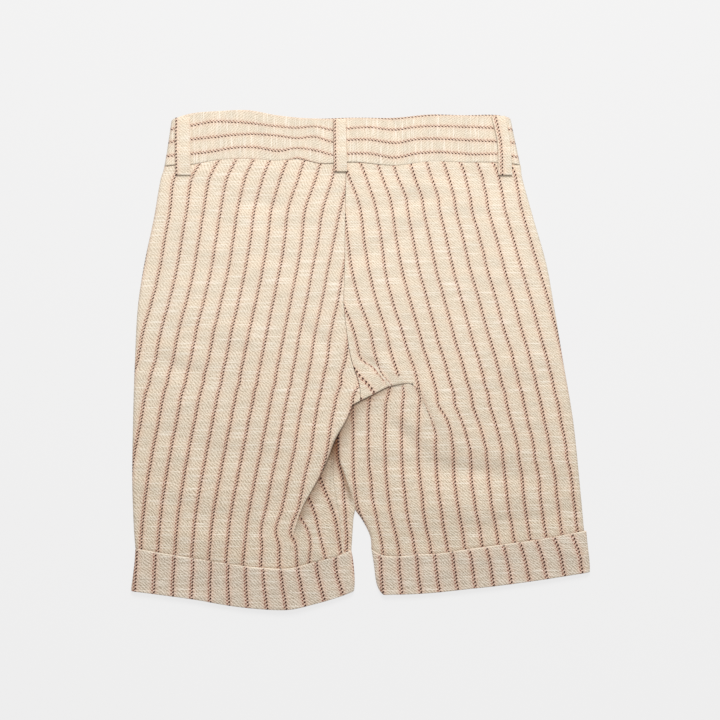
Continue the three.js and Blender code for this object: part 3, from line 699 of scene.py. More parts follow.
def plug(tree, socket, value):
    """Links a socket to the value, or sets it where the value is plain."""
    if isinstance(value, bpy.types.NodeSocket):
        tree.links.new(value, socket)
    else:
        socket.default_value = value


def maths(tree, operation, *values):
    """A Math node and its output."""
    node = tree.nodes.new("ShaderNodeMath")
    node.operation = operation
    for socket, value in zip(node.inputs, values):
        plug(tree, socket, value)
    return node.outputs[0]


def clamped(tree, value, low, high):
    """The value, held between low and high."""
    return maths(tree, "MINIMUM", maths(tree, "MAXIMUM", value, low), high)


def attribute(tree, name):
    """A piece's own attribute as a value."""
    node = tree.nodes.new("ShaderNodeAttribute")
    node.attribute_name = name
    return node.outputs["Fac"]


def blend(tree, share, first, second, how="MIX"):
    """A Mix node for colours and its output."""
    node = tree.nodes.new("ShaderNodeMix")
    node.data_type = "RGBA"
    node.blend_type = how
    plug(tree, node.inputs["Factor"], share)
    plug(tree, node.inputs[6], first)
    plug(tree, node.inputs[7], second)
    return node.outputs[2]


def noise(tree, x, y, scale_x, scale_y, detail=2.0, seed=0.0):
    """Noise over two coordinates, each with its own scale, from 0 to 1."""
    place = tree.nodes.new("ShaderNodeCombineXYZ")
    plug(tree, place.inputs[0], maths(tree, "MULTIPLY", x, scale_x))
    plug(tree, place.inputs[1], maths(tree, "MULTIPLY", y, scale_y))
    place.inputs[2].default_value = seed
    node = tree.nodes.new("ShaderNodeTexNoise")
    node.inputs["Scale"].default_value = 1
    node.inputs["Detail"].default_value = detail
    tree.links.new(place.outputs[0], node.inputs["Vector"])
    return node.outputs["Fac"]


def fade_node(tree, value, low, high):
    """1 where the value is below low, 0 above high."""
    node = tree.nodes.new("ShaderNodeMapRange")
    node.interpolation_type = "SMOOTHSTEP"
    plug(tree, node.inputs["Value"], value)
    node.inputs["From Min"].default_value = low
    node.inputs["From Max"].default_value = high
    node.inputs["To Min"].default_value = 1
    node.inputs["To Max"].default_value = 0
    return node.outputs[0]


def dash(tree, across, along, lean, length, width):
    """A slanting dash round the origin: 1 inside its ellipse, 0 outside."""
    c, s = math.cos(math.radians(lean)), math.sin(math.radians(lean))
    far = maths(tree, "ADD", maths(tree, "MULTIPLY", across, s), maths(tree, "MULTIPLY", along, c))
    near = maths(tree, "SUBTRACT", maths(tree, "MULTIPLY", across, c), maths(tree, "MULTIPLY", along, s))
    far = maths(tree, "POWER", maths(tree, "DIVIDE", far, length), 2.0)
    near = maths(tree, "POWER", maths(tree, "DIVIDE", near, width), 2.0)
    return fade_node(tree, maths(tree, "ADD", far, near), 0.45, 1.5)


def stripe_group():
    """Woven stripes: two columns of slanting dashes, half a step apart, on a warm core with a halo."""
    tree, given, made = new_group(
        "Woven stripe",
        [
            ("Stripe", "NodeSocketFloat", 0.0),
            ("Along", "NodeSocketFloat", 0.0),
            ("Dash Step", "NodeSocketFloat", 2.5),
        ],
        [
            ("Dark", "NodeSocketFloat"),
            ("Pale", "NodeSocketFloat"),
            ("Core", "NodeSocketFloat"),
            ("Halo", "NodeSocketFloat"),
        ],
    )
    stripe, along, step = given.outputs[0], given.outputs[1], given.outputs[2]
    nearest = maths(tree, "ROUND", stripe)
    off = maths(tree, "MULTIPLY", maths(tree, "SUBTRACT", stripe, nearest), STRIPE_PITCH)
    seed = maths(tree, "MULTIPLY", nearest, 7.3)
    sway = maths(tree, "SUBTRACT", noise(tree, along, seed, 0.11, 1.0), 0.5)
    off = maths(tree, "MULTIPLY_ADD", sway, 0.9, off)
    uneven = noise(tree, along, seed, 0.35, 1.0, 3.0, 4.0)
    strength = maths(tree, "MULTIPLY_ADD", uneven, 1.5, 0.3)

    def column(place, shift, length, width):
        """A column of dashes beside the stripe's middle, one every step."""
        turns = maths(tree, "ADD", maths(tree, "DIVIDE", along, step), shift)
        part = maths(tree, "SUBTRACT", maths(tree, "FRACT", turns), 0.5)
        beside, part = maths(tree, "SUBTRACT", off, place), maths(tree, "MULTIPLY", part, step)
        return dash(tree, beside, part, 36, length, width)

    def band(width):
        """A bell round the stripe's middle: the exponential of minus the ratio squared."""
        square = maths(tree, "POWER", maths(tree, "DIVIDE", off, width), 2.0)
        return maths(tree, "EXPONENT", maths(tree, "MULTIPLY", square, -1.0))

    dark = maths(tree, "MULTIPLY", column(0.45, 0.0, 0.95, 0.52), strength)
    pale = maths(tree, "MULTIPLY", column(-0.88, 0.5, 0.72, 0.4), strength)
    for socket, value in zip(made.inputs, (dark, pale, band(1.15), band(2.9))):
        tree.links.new(value, socket)
    return tree


def twill_group():
    """Twill: fine slanting ribs broken by slubs along the weft and a slow change of tone."""
    tree, given, made = new_group(
        "Twill weave",
        [
            ("Across", "NodeSocketFloat", 0.0),
            ("Along", "NodeSocketFloat", 0.0),
            ("Rib Step", "NodeSocketFloat", 2.4),
        ],
        [
            ("Rib", "NodeSocketFloat"),
            ("Slub", "NodeSocketFloat"),
            ("Tone", "NodeSocketFloat"),
            ("Grain", "NodeSocketFloat"),
        ],
    )
    across, along, step = given.outputs[0], given.outputs[1], given.outputs[2]
    turns = maths(tree, "DIVIDE", maths(tree, "ADD", across, along), step)
    drift = noise(tree, across, along, 0.12, 0.12, 2.0, 9.0)
    turns = maths(tree, "MULTIPLY_ADD", drift, 2.2, turns)
    rib = maths(tree, "SINE", maths(tree, "MULTIPLY", turns, 2 * math.pi))
    rib = maths(tree, "MULTIPLY_ADD", rib, 0.5, 0.5)
    rib = maths(tree, "MULTIPLY", rib, noise(tree, across, along, 0.5, 0.5, 2.0, 5.0))
    slub = noise(tree, across, along, 0.04, 1.0, 3.0, 2.0)
    slub = maths(tree, "SUBTRACT", 1.0, fade_node(tree, slub, 0.5, 0.7))
    tone = noise(tree, across, along, 0.035, 0.13, 3.0, 6.0)
    grain = noise(tree, across, along, 1.5, 1.5, 2.0, 3.0)
    for socket, value in zip(made.inputs, (rib, slub, tone, grain)):
        tree.links.new(value, socket)
    return tree


def cloth_material(name, ground, dash_step=2.5):
    """Beige cotton twill with its woven dark red stripes, read from the piece's own cloth map.
    Ribs, grain and stripes stand out more towards the hems, as `crisp` says."""
    colours = bpy.context.scene.shorts_colours
    material = bpy.data.materials.new(name)
    material.use_nodes = True
    tree = material.node_tree
    shader = tree.nodes["Principled BSDF"]
    shader.inputs["Roughness"].default_value = 0.9
    shader.inputs["Specular IOR Level"].default_value = 0.2
    shader.inputs["Sheen Weight"].default_value = 0.12
    shader.inputs["Sheen Roughness"].default_value = 0.6
    place = tree.nodes.new("ShaderNodeUVMap")
    place.uv_map = "cloth"
    parts = tree.nodes.new("ShaderNodeSeparateXYZ")
    tree.links.new(place.outputs[0], parts.inputs[0])
    stripe, along = parts.outputs[0], parts.outputs[1]
    twill = tree.nodes.new("ShaderNodeGroup")
    twill.node_tree = bpy.data.node_groups.get("Twill weave") or twill_group()
    plug(tree, twill.inputs["Across"], maths(tree, "MULTIPLY", stripe, STRIPE_PITCH))
    plug(tree, twill.inputs["Along"], along)
    spot = tree.nodes.new("ShaderNodeTexCoord")
    level = tree.nodes.new("ShaderNodeSeparateXYZ")
    tree.links.new(spot.outputs["Object"], level.inputs[0])
    crisp = maths(tree, "SUBTRACT", 1.12, maths(tree, "MULTIPLY", level.outputs[1], 2.8))
    crisp = clamped(tree, crisp, 0.98, 1.5)
    tone = maths(tree, "MULTIPLY", maths(tree, "SUBTRACT", twill.outputs["Tone"], 0.35), 2.4)
    tone = clamped(tree, tone, 0.0, 1.0)
    colour = blend(tree, tone, (*ground, 1), (*(np.array(ground) * colours.cool_tone), 1))
    rib = maths(tree, "MULTIPLY", twill.outputs["Rib"], maths(tree, "MULTIPLY", crisp, 0.95))
    rib = maths(tree, "MINIMUM", rib, 1.0)
    colour = blend(tree, rib, colour, (*colours.shade, 1), "MULTIPLY")
    speck = maths(tree, "MULTIPLY", maths(tree, "SUBTRACT", twill.outputs["Grain"], 0.42), 3.0)
    speck = clamped(tree, speck, 0.0, 1.0)
    speck = maths(tree, "MINIMUM", maths(tree, "MULTIPLY", speck, crisp), 1.0)
    colour = blend(tree, speck, colour, (*colours.shade, 1), "MULTIPLY")
    colour = blend(tree, maths(tree, "MULTIPLY", twill.outputs["Slub"], 0.5), colour, (*colours.pale, 1))
    height = maths(tree, "SUBTRACT", maths(tree, "MULTIPLY_ADD", twill.outputs["Slub"], 0.35, 1.0), rib)
    lines = tree.nodes.new("ShaderNodeGroup")
    lines.node_tree = bpy.data.node_groups.get("Woven stripe") or stripe_group()
    plug(tree, lines.inputs["Stripe"], stripe)
    plug(tree, lines.inputs["Along"], along)
    lines.inputs["Dash Step"].default_value = dash_step
    edge = attribute(tree, "edge")
    shown = maths(tree, "SUBTRACT", 1.0, maths(tree, "MAXIMUM", edge, 0.0))
    for output, share, tint, how in (
        ("Halo", 0.85, colours.halo, "MULTIPLY"),
        ("Core", 0.12, colours.core, "MULTIPLY"),
        ("Pale", 0.85, colours.faded_stripe, "MIX"),
        ("Dark", 1.0, colours.stripe, "MIX"),
    ):
        part = maths(tree, "MULTIPLY", maths(tree, "MULTIPLY", crisp, share), shown)
        part = maths(tree, "MULTIPLY", lines.outputs[output], part)
        part = maths(tree, "MINIMUM", part, 1.0)
        colour = blend(tree, part, colour, (*tint, 1), how)
    # Painted highlight: a pale colour where edge is below 0, along the turn-ups' upper fold edge
    highlight_share = maths(tree, "MAXIMUM", maths(tree, "MULTIPLY", edge, -1.0), 0.0)
    colour = blend(tree, highlight_share, colour, (*colours.edge_highlight, 1))
    # Painted shade: a warm dark factor multiplied in by each piece's shade share, deep between the folds,
    # under their edges and along the turn-ups
    deep = clamped(tree, attribute(tree, "painted_shade"), 0.0, 1.0)
    colour = blend(tree, deep, colour, (*colours.painted_shade, 1), "MULTIPLY")
    tree.links.new(colour, shader.inputs["Base Color"])
    bump = tree.nodes.new("ShaderNodeBump")
    bump.inputs["Strength"].default_value = 0.35
    bump.inputs["Distance"].default_value = 0.0004
    tree.links.new(height, bump.inputs["Height"])
    tree.links.new(bump.outputs[0], shader.inputs["Normal"])
    return material


# Settings


def colour_property(name, description, default):
    """A colour that a user may change."""
    return bpy.props.FloatVectorProperty(
        name=name, description=description, subtype="COLOR", size=3, min=0, max=1, default=default
    )


def length_property(name, description, millimetres):
    """A length that a user may change, kept in metres."""
    return bpy.props.FloatProperty(
        name=name, description=description, default=millimetres * MM, unit="LENGTH", subtype="DISTANCE"
    )


class ShortsSizes(bpy.types.PropertyGroup):
    """Sizes of the cloth and of the way it lies"""

    cloth: length_property("Cloth", "Thickness of one layer of the panels", 0.6)
    doubled: length_property("Doubled cloth", "Thickness of the waistband and turn-ups", 1.6)
    loop: length_property("Loop cloth", "Thickness of a belt loop", 1.4)
    lie: length_property("Lie", "Height of a back panel where it lies closest", 3.5)
    puff: length_property("Puff", "How far a panel's middle stands above its edges", 1.2)
    band_lie: length_property("Waistband lie", "Height of the back waistband's upper side", 4.6)
    hem_lie: length_property("Hem lie", "Height of a turn-up at its hem", 4.6)
    loop_free: length_property("Loop slack", "How far a belt loop stands free of the band", 0.8)


class ShortsColours(bpy.types.PropertyGroup):
    """Colours of the cotton cloth and its stripes"""

    leg: colour_property("Leg cloth", "Ground of the panels", (0.96, 0.84, 0.68))
    band: colour_property("Band cloth", "Ground of the waistband", (0.92, 0.81, 0.66))
    # The turn-ups are of the legs' cloth; this ground is a little darker as painted shade
    cuff_with_painted_shade: colour_property("Cuff cloth", "Ground of the turn-ups", (0.92, 0.81, 0.68))
    cool_tone: colour_property("Tone", "Factor of the cloth's slow change of tone", (0.88, 0.91, 0.93))
    shade: colour_property("Rib shade", "Factor between the ribs of the twill", (0.52, 0.48, 0.42))
    pale: colour_property("Slub", "Pale slubs of the weft", (0.99, 0.94, 0.84))
    halo: colour_property("Stripe halo", "Factor of the warm tint beside a stripe", (1.0, 0.87, 0.84))
    core: colour_property("Stripe core", "Factor of the tint within a stripe", (0.9, 0.55, 0.46))
    stripe: colour_property("Stripe", "Dark dashes of a stripe", (0.045, 0.01, 0.006))
    faded_stripe: colour_property("Second stripe", "Paler dashes beside them", (0.2, 0.05, 0.032))
    # Painted shade: a warm dark factor for the hollows between the legs, under the folds and along the
    # turn-ups
    painted_shade: colour_property("Painted shade", "Factor deep between the folds", (0.32, 0.2, 0.13))
    # Painted highlight: the pale line along the turn-ups' upper fold edge
    edge_highlight: colour_property("Painted edge highlight", "Pale edge of the turn-ups", (0.95, 0.86, 0.72))


class StageSettings(bpy.types.PropertyGroup):
    """Floor, light and camera"""

    floor: colour_property("Floor", "Colour of the floor", (0.1, 0.1, 0.1))
    key: bpy.props.FloatProperty(name="Key light", description="Power", default=19, unit="POWER")
    sky: bpy.props.FloatProperty(name="Surrounding light", description="Strength", default=0.42, min=0)
    glow: bpy.props.FloatProperty(
        name="Floor glow", description="Light from within the floor", default=0.765, min=0
    )
    lens: bpy.props.FloatProperty(
        name="Lens", description="Focal length", default=85, unit="CAMERA", subtype="DISTANCE_CAMERA"
    )
    distance: length_property("Camera height", "How far above the floor the camera stands", 1277)


# Pieces


def edge_out(values):
    """Turns a list of column blocks, each x and height, into two arrays."""
    x = np.concatenate([np.broadcast_to(a, np.broadcast(a, b).shape) for a, b in values], axis=1)
    z = np.concatenate([np.broadcast_to(b, np.broadcast(a, b).shape) for a, b in values], axis=1)
    return x, z


def tuck_in(points, past_waist, past_cuff, middle):
    """Lowers and narrows the rows that run on under the waistband and under a turn-up."""
    share = (past_waist + past_cuff)[:, None]
    x, y, z = points[..., 0], points[..., 1], points[..., 2]
    x = x + np.sign(middle - x) * TUCK_SIDE * share
    y = y + TUCK * (past_waist[:, None] - past_cuff[:, None])
    z = np.maximum(z - TUCK_DROP * share, 0.7 * np.minimum(z, 1))
    return np.stack([x, y, z], axis=-1)


def tucked(rows, first, last, count=4):
    """Row values with repeated ends, and how far each row is tucked in past the first and last."""
    ends = np.linspace(1, 0, count, endpoint=False)
    level = np.concatenate([np.full(count, first), rows, np.full(count, last)])
    past_first = np.concatenate([ends, np.zeros(len(rows) + count)])
    past_last = np.concatenate([np.zeros(len(rows) + count), ends[::-1]])
    return level, past_first, past_last


def waist_dip(y, seam, depth=0.3, reach=3):
    """How much a panel dips where it runs into the waist seam."""
    return depth * bell(seam - y, reach)


def left_back_grid(sizes):
    """The left half of the seat with its leg: a row runs from the side edge, which rolls down to
    the floor, over the panel to the centre seam; below the crotch it turns under at the fold
    and goes on as the leg's inner cloth to the inseam."""
    rows = np.concatenate(
        [
            np.linspace(WAIST_LEVEL, CROTCH_LEVEL, 105, endpoint=False),
            np.linspace(CROTCH_LEVEL, HEM_LEVEL, 80),
        ]
    )
    rows, past_waist, past_cuff = tucked(rows, WAIST_LEVEL, HEM_LEVEL)
    level = rows[:, None]
    folded, split = level < CROTCH_LEVEL, level < SPLIT_LEVEL
    start = left_side(level) + ROLL
    end = np.where(folded, left_fold["x"](level), centre_seam(level)) - SEAM_GAP / 2
    crest, below = left_crest(level), left_fold["below"](level)
    half = np.where(folded, from_zero(FOLD_ROUND * (crest - below), 0.08), SEAM_ROUND)
    top = end - half
    pocket = np.where(folded, end - from_zero(left_fold["depth"](level), 0.15), end)

    def height(x):
        """The panel's height, lifted near the fold to its crest and dipping into the waist seam."""
        y = bent(x, level, band_seam, left_cuff_top)
        flat = lie(x, y, (x - start) / (top - start), sizes)
        return flat + (crest - PLAIN_CREST) * bell(top - x, FOLD_REACH) - waist_dip(level, WAIST_LEVEL)

    angles = np.radians(np.linspace(0, 90, 9))[None, :-1]
    blocks = [(left_side(level) + ROLL * (1 - np.cos(angles)), height(start) * np.sin(angles))]
    s = np.linspace(0, 1, 105)[None, :] ** 0.9
    main = mix(start, top, s)
    blocks.append((main, height(main)))
    turn = np.radians(np.linspace(0, 1, 10)[None, 1:] * np.where(folded, 180, 90))
    blocks.append((top + half * np.sin(turn), height(top) - half * (1 - np.cos(turn))))
    last_z = blocks[-1][1][:, -1:]
    blocks.append((pocket, last_z))
    s = np.linspace(0, 1, 26)[None, :]
    inner_x = np.where(split, mix(pocket, inseam(level) + 0.4, s), pocket)
    settled = mix(last_z, inseam_height(level), smooth(s * 1.15))
    ridge = 1.1 * bell(0.9 - s, 0.09) * smooth((SPLIT_LEVEL - level) / 20)
    belly = 2.2 * np.exp(-(((inner_x + 44) / 7) ** 2) - ((level + 131) / 13) ** 2)
    inner_z = settled + ridge + belly * smooth(s * 5)
    blocks.append((inner_x, np.where(split, inner_z, last_z)))
    x, z = edge_out(blocks)
    y = bent(x, level, band_seam, left_cuff_top)
    points = tuck_in(np.stack([x, y, z], axis=-1), past_waist, past_cuff, -90)
    inner = np.zeros(x.shape, bool)
    inner[:, -26:] = True
    inner_way = stripe_number(INNER_STRIPES)(points[..., 0], points[..., 1])
    main_way = stripe_number(LEFT_STRIPES)(points[..., 0], points[..., 1])
    apart = smooth((points[..., 1] + 141) / 8)
    # Painted shade: on the fold's roll where it turns under, on the inner cloth deep between the legs, and
    # along the turn-up
    open_fold = smooth((level + 136) / 20) * smooth((CROTCH_LEVEL - level) / 6)
    past_top = np.clip((x - top) / np.maximum(half, 0.1), 0, 1) * open_fold
    deep = np.where(inner, painted_shade(x, y), 0.35 * past_top**1.5)
    deep = np.maximum(deep, cuff_shade(x, y, left_cuff_top))
    inner_way = np.where(main_way > 9, inner_way, mix(main_way, inner_way, apart))
    return points, np.where(inner & split, inner_way, main_way), deep


def right_back_grid(sizes):
    """The right half of the seat with its leg: the rows run from the waist seam to the fold over
    the crotch, turn under there and go on down the leg. To the right the fold dies out."""

    def strength(x):
        """1 along the open fold and 0 where it has died out."""
        return smooth((FOLD_END - x) / FOLD_FADE)

    def across(x, left, right):
        """How far from the left edge (0) to the right edge (1)."""
        return (x - left) / (right - left)

    crotch_left = centre_seam(CROTCH_LEVEL) + SEAM_GAP / 2
    fold_right = right_side(SIDE_OF_FOLD)

    def plain(x):
        """The panel's height on the fold line as if there were no fold."""
        return lie(x, right_fold_line(x), across(x, crotch_left, fold_right), sizes)

    def crest(x):
        """The height of the fold's crest."""
        return mix(plain(x), right_fold["crest"](x), strength(x))

    def half(x):
        """The fold's radius."""
        below = mix(plain(x), right_fold["below"](x), strength(x))
        return from_zero(FOLD_ROUND * (crest(x) - below), 0.08)

    def depth(x):
        """How deep the cloth is turned under."""
        return from_zero(right_fold["depth"](x) * strength(x), 0.15)

    def columns(left, right, left_width, left_foot, z_of):
        """The places and heights along rows, with a quarter round at either end."""
        start, end = left + left_width, right - ROLL
        turn = np.radians(np.linspace(0, 90, 9))[None, :-1]
        first = (left + left_width * (1 - np.cos(turn)), mix(left_foot, z_of(start), np.sin(turn)))
        near = mix(start, FOLD_JOIN, np.linspace(0, 1, 52)[None, :-1])
        main = np.concatenate([near, mix(FOLD_JOIN, end, np.linspace(0, 1, 72)[None, :])], axis=1)
        back = turn[:, ::-1]
        last = (right - ROLL * (1 - np.cos(back)), z_of(end) * np.sin(back))
        return edge_out([first, (main, z_of(main)), last])

    down, past_waist, _ = tucked(np.linspace(0, 1, 105), 0, 1)
    down, past_waist = down[:-4, None], past_waist[:-4]
    left = centre_seam(mix(band_seam(SEAM["x"][0]), CROTCH_LEVEL, down)) + SEAM_GAP / 2
    right = right_side(mix(band_seam(SIDES["right"][1]), SIDE_OF_FOLD, down))

    def seat_y(x):
        """Rows straight between the waist seam and the fold."""
        return mix(band_seam(x), right_fold_line(x) + half(x), down)

    def seat_z(x):
        """The seat's height, lifted near the fold to its crest."""
        y = seat_y(x)
        lifted = (crest(x) - plain(x)) * bell(y - right_fold_line(x) - half(x), FOLD_REACH)
        return lie(x, y, across(x, left, right), sizes) + lifted - waist_dip(y, band_seam(x))

    x, z = columns(left, right, SEAM_ROUND, seat_z(left) - SEAM_ROUND, seat_z)
    seat = np.stack([x, seat_y(x), z], axis=-1)
    seat = tuck_in(seat, past_waist, np.zeros(len(seat)), 55)
    seat_number = stripe_number(SEAT_STRIPES)(seat[..., 0], seat[..., 1])

    turn = np.radians(np.linspace(0, 180, 12))[1:, None]
    left = np.full(turn.shape, crotch_left)
    right = np.full(turn.shape, fold_right)

    def turned_z(x):
        """The half round of the fold, from its crest down."""
        return crest(x) - half(x) * (1 - np.cos(turn))

    x, z = columns(left, right, SEAM_ROUND, turned_z(left) - SEAM_ROUND, turned_z)
    fold = np.stack([x, right_fold_line(x) + half(x) * (1 - np.sin(turn)), z], axis=-1)
    fold_number = stripe_number(SEAT_STRIPES)(x, fold[..., 1])
    under = fold[-1:].copy()
    under[..., 1] = right_fold_line(under[..., 0]) + depth(under[..., 0])

    down, _, past_cuff = tucked(np.linspace(0, 1, 85), 0, 1)
    down, past_cuff = down[4:, None], past_cuff[4:]

    def leg_y(x):
        """Rows straight between the cloth turned under and the turn-up."""
        return mix(right_fold_line(x) + depth(x), right_cuff_top(x), down)

    # Its first row has the columns of the fold, so that the two join where the fold dies out
    clear = smooth(down / 0.045)
    left, right = mix(crotch_left, rim(leg_y(0.0)), clear), right_side(leg_y(168.0))

    def leg_z(x):
        """The leg's height, lowered near the fold to the cloth under it."""
        start = right_fold_line(x) + depth(x)
        share = across(x, left, right)
        gap = crest(x) - 2 * half(x) - lie(x, start, share, sizes)
        return lie(x, leg_y(x), share, sizes) + gap * bell(start - leg_y(x), FOLD_REACH)

    foot = 1.9 * np.maximum(1 - down * 14, 0)
    x, z = columns(left, right, mix(SEAM_ROUND, ROLL, clear), foot, leg_z)
    leg = np.stack([x, leg_y(x), z], axis=-1)
    leg = tuck_in(leg, np.zeros(len(leg)), past_cuff, 90)
    seat_way = stripe_number(SEAT_STRIPES)(leg[..., 0], leg[..., 1])
    leg_way = stripe_number(LEG_STRIPES)(leg[..., 0], leg[..., 1])
    past_fold = smooth((leg[..., 0] - 46) / 12)
    away = smooth((right_fold_line(leg[..., 0]) - leg[..., 1]) / 14)
    leg_number = mix(leg_way, seat_way, past_fold * (1 - away))
    points = np.concatenate([seat, fold, under, leg])
    number = np.concatenate([seat_number, fold_number, fold_number[-1:], leg_number])
    # Painted shade: under the fold's edge, on the leg beside the left fold, along the turn-up and on the
    # fold's turned-under half
    x = leg[..., 0]
    open_fold = smooth((36 - x) / 30)
    by_fold = 0.7 * np.exp(-((np.maximum(right_fold_line(x) - leg[..., 1], 0) / 6) ** 1.5)) * open_fold
    beside = np.maximum(x - left_fold["x"](leg[..., 1]), 0)
    by_rim = 0.62 * bell(beside, 8) * smooth((leg[..., 1] + 96) / 30)
    by_cuff = cuff_shade(x, leg[..., 1], right_cuff_top)
    turned = 0.3 * np.sin(turn / 2) ** 4 * smooth((36 - fold[..., 0]) / 30)
    deep = np.concatenate([0 * seat[..., 0], turned, turned[-1:], np.maximum(by_fold, by_rim) + by_cuff])
    return points, number, deep


def spots(points):
    """How bare of stripes the cloth is, from the table of spots."""
    bare = np.zeros(points.shape[:2])
    for x, y, wide in zip(*BARE_SPOTS.values()):
        away = ((points[..., 0] - x) ** 2 + (points[..., 1] - y) ** 2) / wide**2
        bare = np.maximum(bare, np.exp(-(away**2)))
    return bare


class SHORTS_OT_backs(bpy.types.Operator):
    """Make the two back panels, each with its half of the seat and its leg"""

    bl_idname = "shorts.backs"
    bl_label = "Back panels"

    def execute(self, context):
        sizes, colours = context.scene.shorts_sizes, context.scene.shorts_colours
        material = cloth_material("leg cloth", colours.leg)
        for name, node, made, cut, area in (
            ("left_back", "back_left", left_back_grid(sizes), (0.19, 0.32), 0.058),
            ("right_back", "back_right", right_back_grid(sizes), (0.185, 0.31), 0.053),
        ):
            piece = make_panel(name, made, sizes.cloth, spots(made[0]).ravel())
            finish_piece(piece, node, material)
        return {"FINISHED"}


def left_front_grid():
    """The left front, flat on the floor. Where the legs part, its inner edge comes round on top
    of the leg and ends at the inseam there."""
    plain_rows, strip_rows = np.linspace(FRONT_SEAM, STRIP_LEVEL, 50), np.linspace(STRIP_LEVEL - 1, -160, 70)
    rows = np.concatenate([plain_rows, strip_rows])
    level = rows[:, None]
    near_cuff = smooth((HEM_LEVEL + BEND - level) / BEND)
    y_shift = near_cuff * -6
    start = left_side(level) + 1.8
    high = np.where(level < STRIP_LEVEL, inseam_height(level) + 0.1, 0)
    under_leg = 2.6 * smooth((level + 118) / 12) * smooth((-46 - level) / 4)
    edge = front_middle(level) - GAP / 2 + under_leg
    radius = high / 2
    end = edge - radius
    blocks = [(mix(start, end, np.linspace(0, 1, 60)[None, :]), np.zeros(level.shape))]
    turn = np.radians(np.linspace(0, 180, 12))[None, 1:]
    blocks.append((end + radius * np.sin(turn), radius * (1 - np.cos(turn))))
    s = np.linspace(0, 1, 14)[None, 1:]
    top = np.where(level < STRIP_LEVEL, mix(end, inseam(level) + 0.1, s), end)
    blocks.append((top, high + 0.3 * bell(s - 0.86, 0.16) * (high > 0)))
    x, z = edge_out(blocks)
    points = np.stack([x, np.broadcast_to(level + y_shift, x.shape), z], axis=-1)
    flat = points[..., 2] < 0.01
    number = np.where(
        flat,
        stripe_number(LEFT_STRIPES)(points[..., 0], points[..., 1]) + 0.4,
        stripe_number(STRIP_STRIPES)(points[..., 0], points[..., 1]),
    )
    # Painted shade where the front comes round on top of the leg deep between the legs
    deep = np.where(flat, 0, painted_shade(x, level))
    return points, number, deep


def flat_grid(left, right, low, high, number, rows=50, columns=50):
    """A flat piece on the floor between two edges and two levels that are functions."""
    t = np.linspace(0, 1, rows)[:, None]
    middle = mix(high(0.0), low(0.0), t)
    x = mix(left(middle), right(middle), np.linspace(0, 1, columns)[None, :])
    y = mix(high(x), low(x), t)
    points = np.stack([x, y, np.zeros(x.shape)], axis=-1)
    return points, number(x, y), 0 * x


class SHORTS_OT_fronts(bpy.types.Operator):
    """Make the two fronts, which lie flat on the floor"""

    bl_idname = "shorts.fronts"
    bl_label = "Fronts"

    def execute(self, context):
        sizes, colours = context.scene.shorts_sizes, context.scene.shorts_colours
        material = cloth_material("front cloth", colours.leg)
        right = flat_grid(
            lambda y: np.where(y > -20, front_middle(y) + GAP / 2, rim(y) + 2.4),
            lambda y: right_side(y) - 2.1,
            lambda x: right_cuff_top(x) - 6,
            lambda x: np.full(np.shape(x), float(FRONT_SEAM)),
            lambda x, y: stripe_number(LEG_STRIPES)(x, np.minimum(y, -70)) + 0.4,
        )
        for name, node, made, cut, area in (
            ("left_front", "front_left", left_front_grid(), (0.17, 0.31), 0.051),
            ("right_front", "front_right", right, (0.17, 0.3), 0.045),
        ):
            piece = make_panel(name, made, sizes.cloth, turned=True)
            finish_piece(piece, node, material)
        return {"FINISHED"}


class SHORTS_OT_waistband(bpy.types.Operator):
    """Make the waistband: its back, which rolls down at the sides, and its two flat front halves"""

    bl_idname = "shorts.waistband"
    bl_label = "Waistband"

    def execute(self, context):
        sizes, colours = context.scene.shorts_sizes, context.scene.shorts_colours
        material = cloth_material("band cloth", colours.band)
        thick = sizes.doubled / MM
        parts, share = edge_rows(BAND_DEPTH, thick, 30)
        part = parts[:, None]
        level = mix(BAND_TOP_LEVEL, WAIST_LEVEL, part)
        left, right = left_side(level), right_side(level)
        half = thick / 2 * share[:, None]

        def side(offset):
            """One side of the wall, at an offset from its middle: flat columns and round ends."""
            turn = np.radians(np.linspace(0, 90, 9))[None, :-1]
            radius = ROLL - thick / 2 + offset
            x_flat = mix(left + ROLL, right - ROLL, np.linspace(0, 1, 260)[None, :])
            y_flat = mix(band_top(x_flat), band_seam(x_flat), part)
            high = band_height(x_flat, y_flat, sizes) - thick / 2
            first_x = left + ROLL - radius * np.cos(turn)
            last_x = right - ROLL + radius * np.cos(turn[:, ::-1])
            first_z = (high[:, :1] + offset) * np.sin(turn)
            last_z = (high[:, -1:] + offset) * np.sin(turn[:, ::-1])
            x, z = edge_out([(first_x, first_z), (x_flat, high + offset), (last_x, last_z)])
            return np.stack([x, mix(band_top(x), band_seam(x), part), z], axis=-1)

        outer, inner = side(half), side(-half)
        points, triangles = wall(outer, inner)
        number = stripe_number(BAND_STRIPES, "x")(points[:, 1], points[:, 0])
        back = make_piece("back_band", points, np.stack([number, points[:, 0]], axis=-1), triangles)
        finish_piece(back, "waistband_back", material)

        for name, node, ends in (
            ("left_front_band", "waistband_front_left", (-143.4, -10.95)),
            ("right_front_band", "waistband_front_right", (-10.65, 115)),
        ):
            def one(offset, ends=ends):
                """One side of a front half's flat wall, at an offset from its middle."""
                x = mix(ends[0], ends[1], np.linspace(0, 1, 90)[None, :])
                slant = (part - 0.5) * np.where(x < -10.8, -5.5, 7.0) * np.abs(x + 10.8) / 130
                y = mix(band_top(x) - 0.8, FRONT_SEAM, part)
                return np.stack([x + slant, y, thick / 2 + offset + 0 * x], axis=-1)

            points, triangles = wall(one(half * 0.9), one(-half))
            number = stripe_number(BAND_STRIPES, "x")(points[:, 1], points[:, 0]) + 0.2
            piece = make_piece(name, points, np.stack([number, points[:, 0]], axis=-1), triangles)
            finish_piece(piece, node, material)
        return {"FINISHED"}


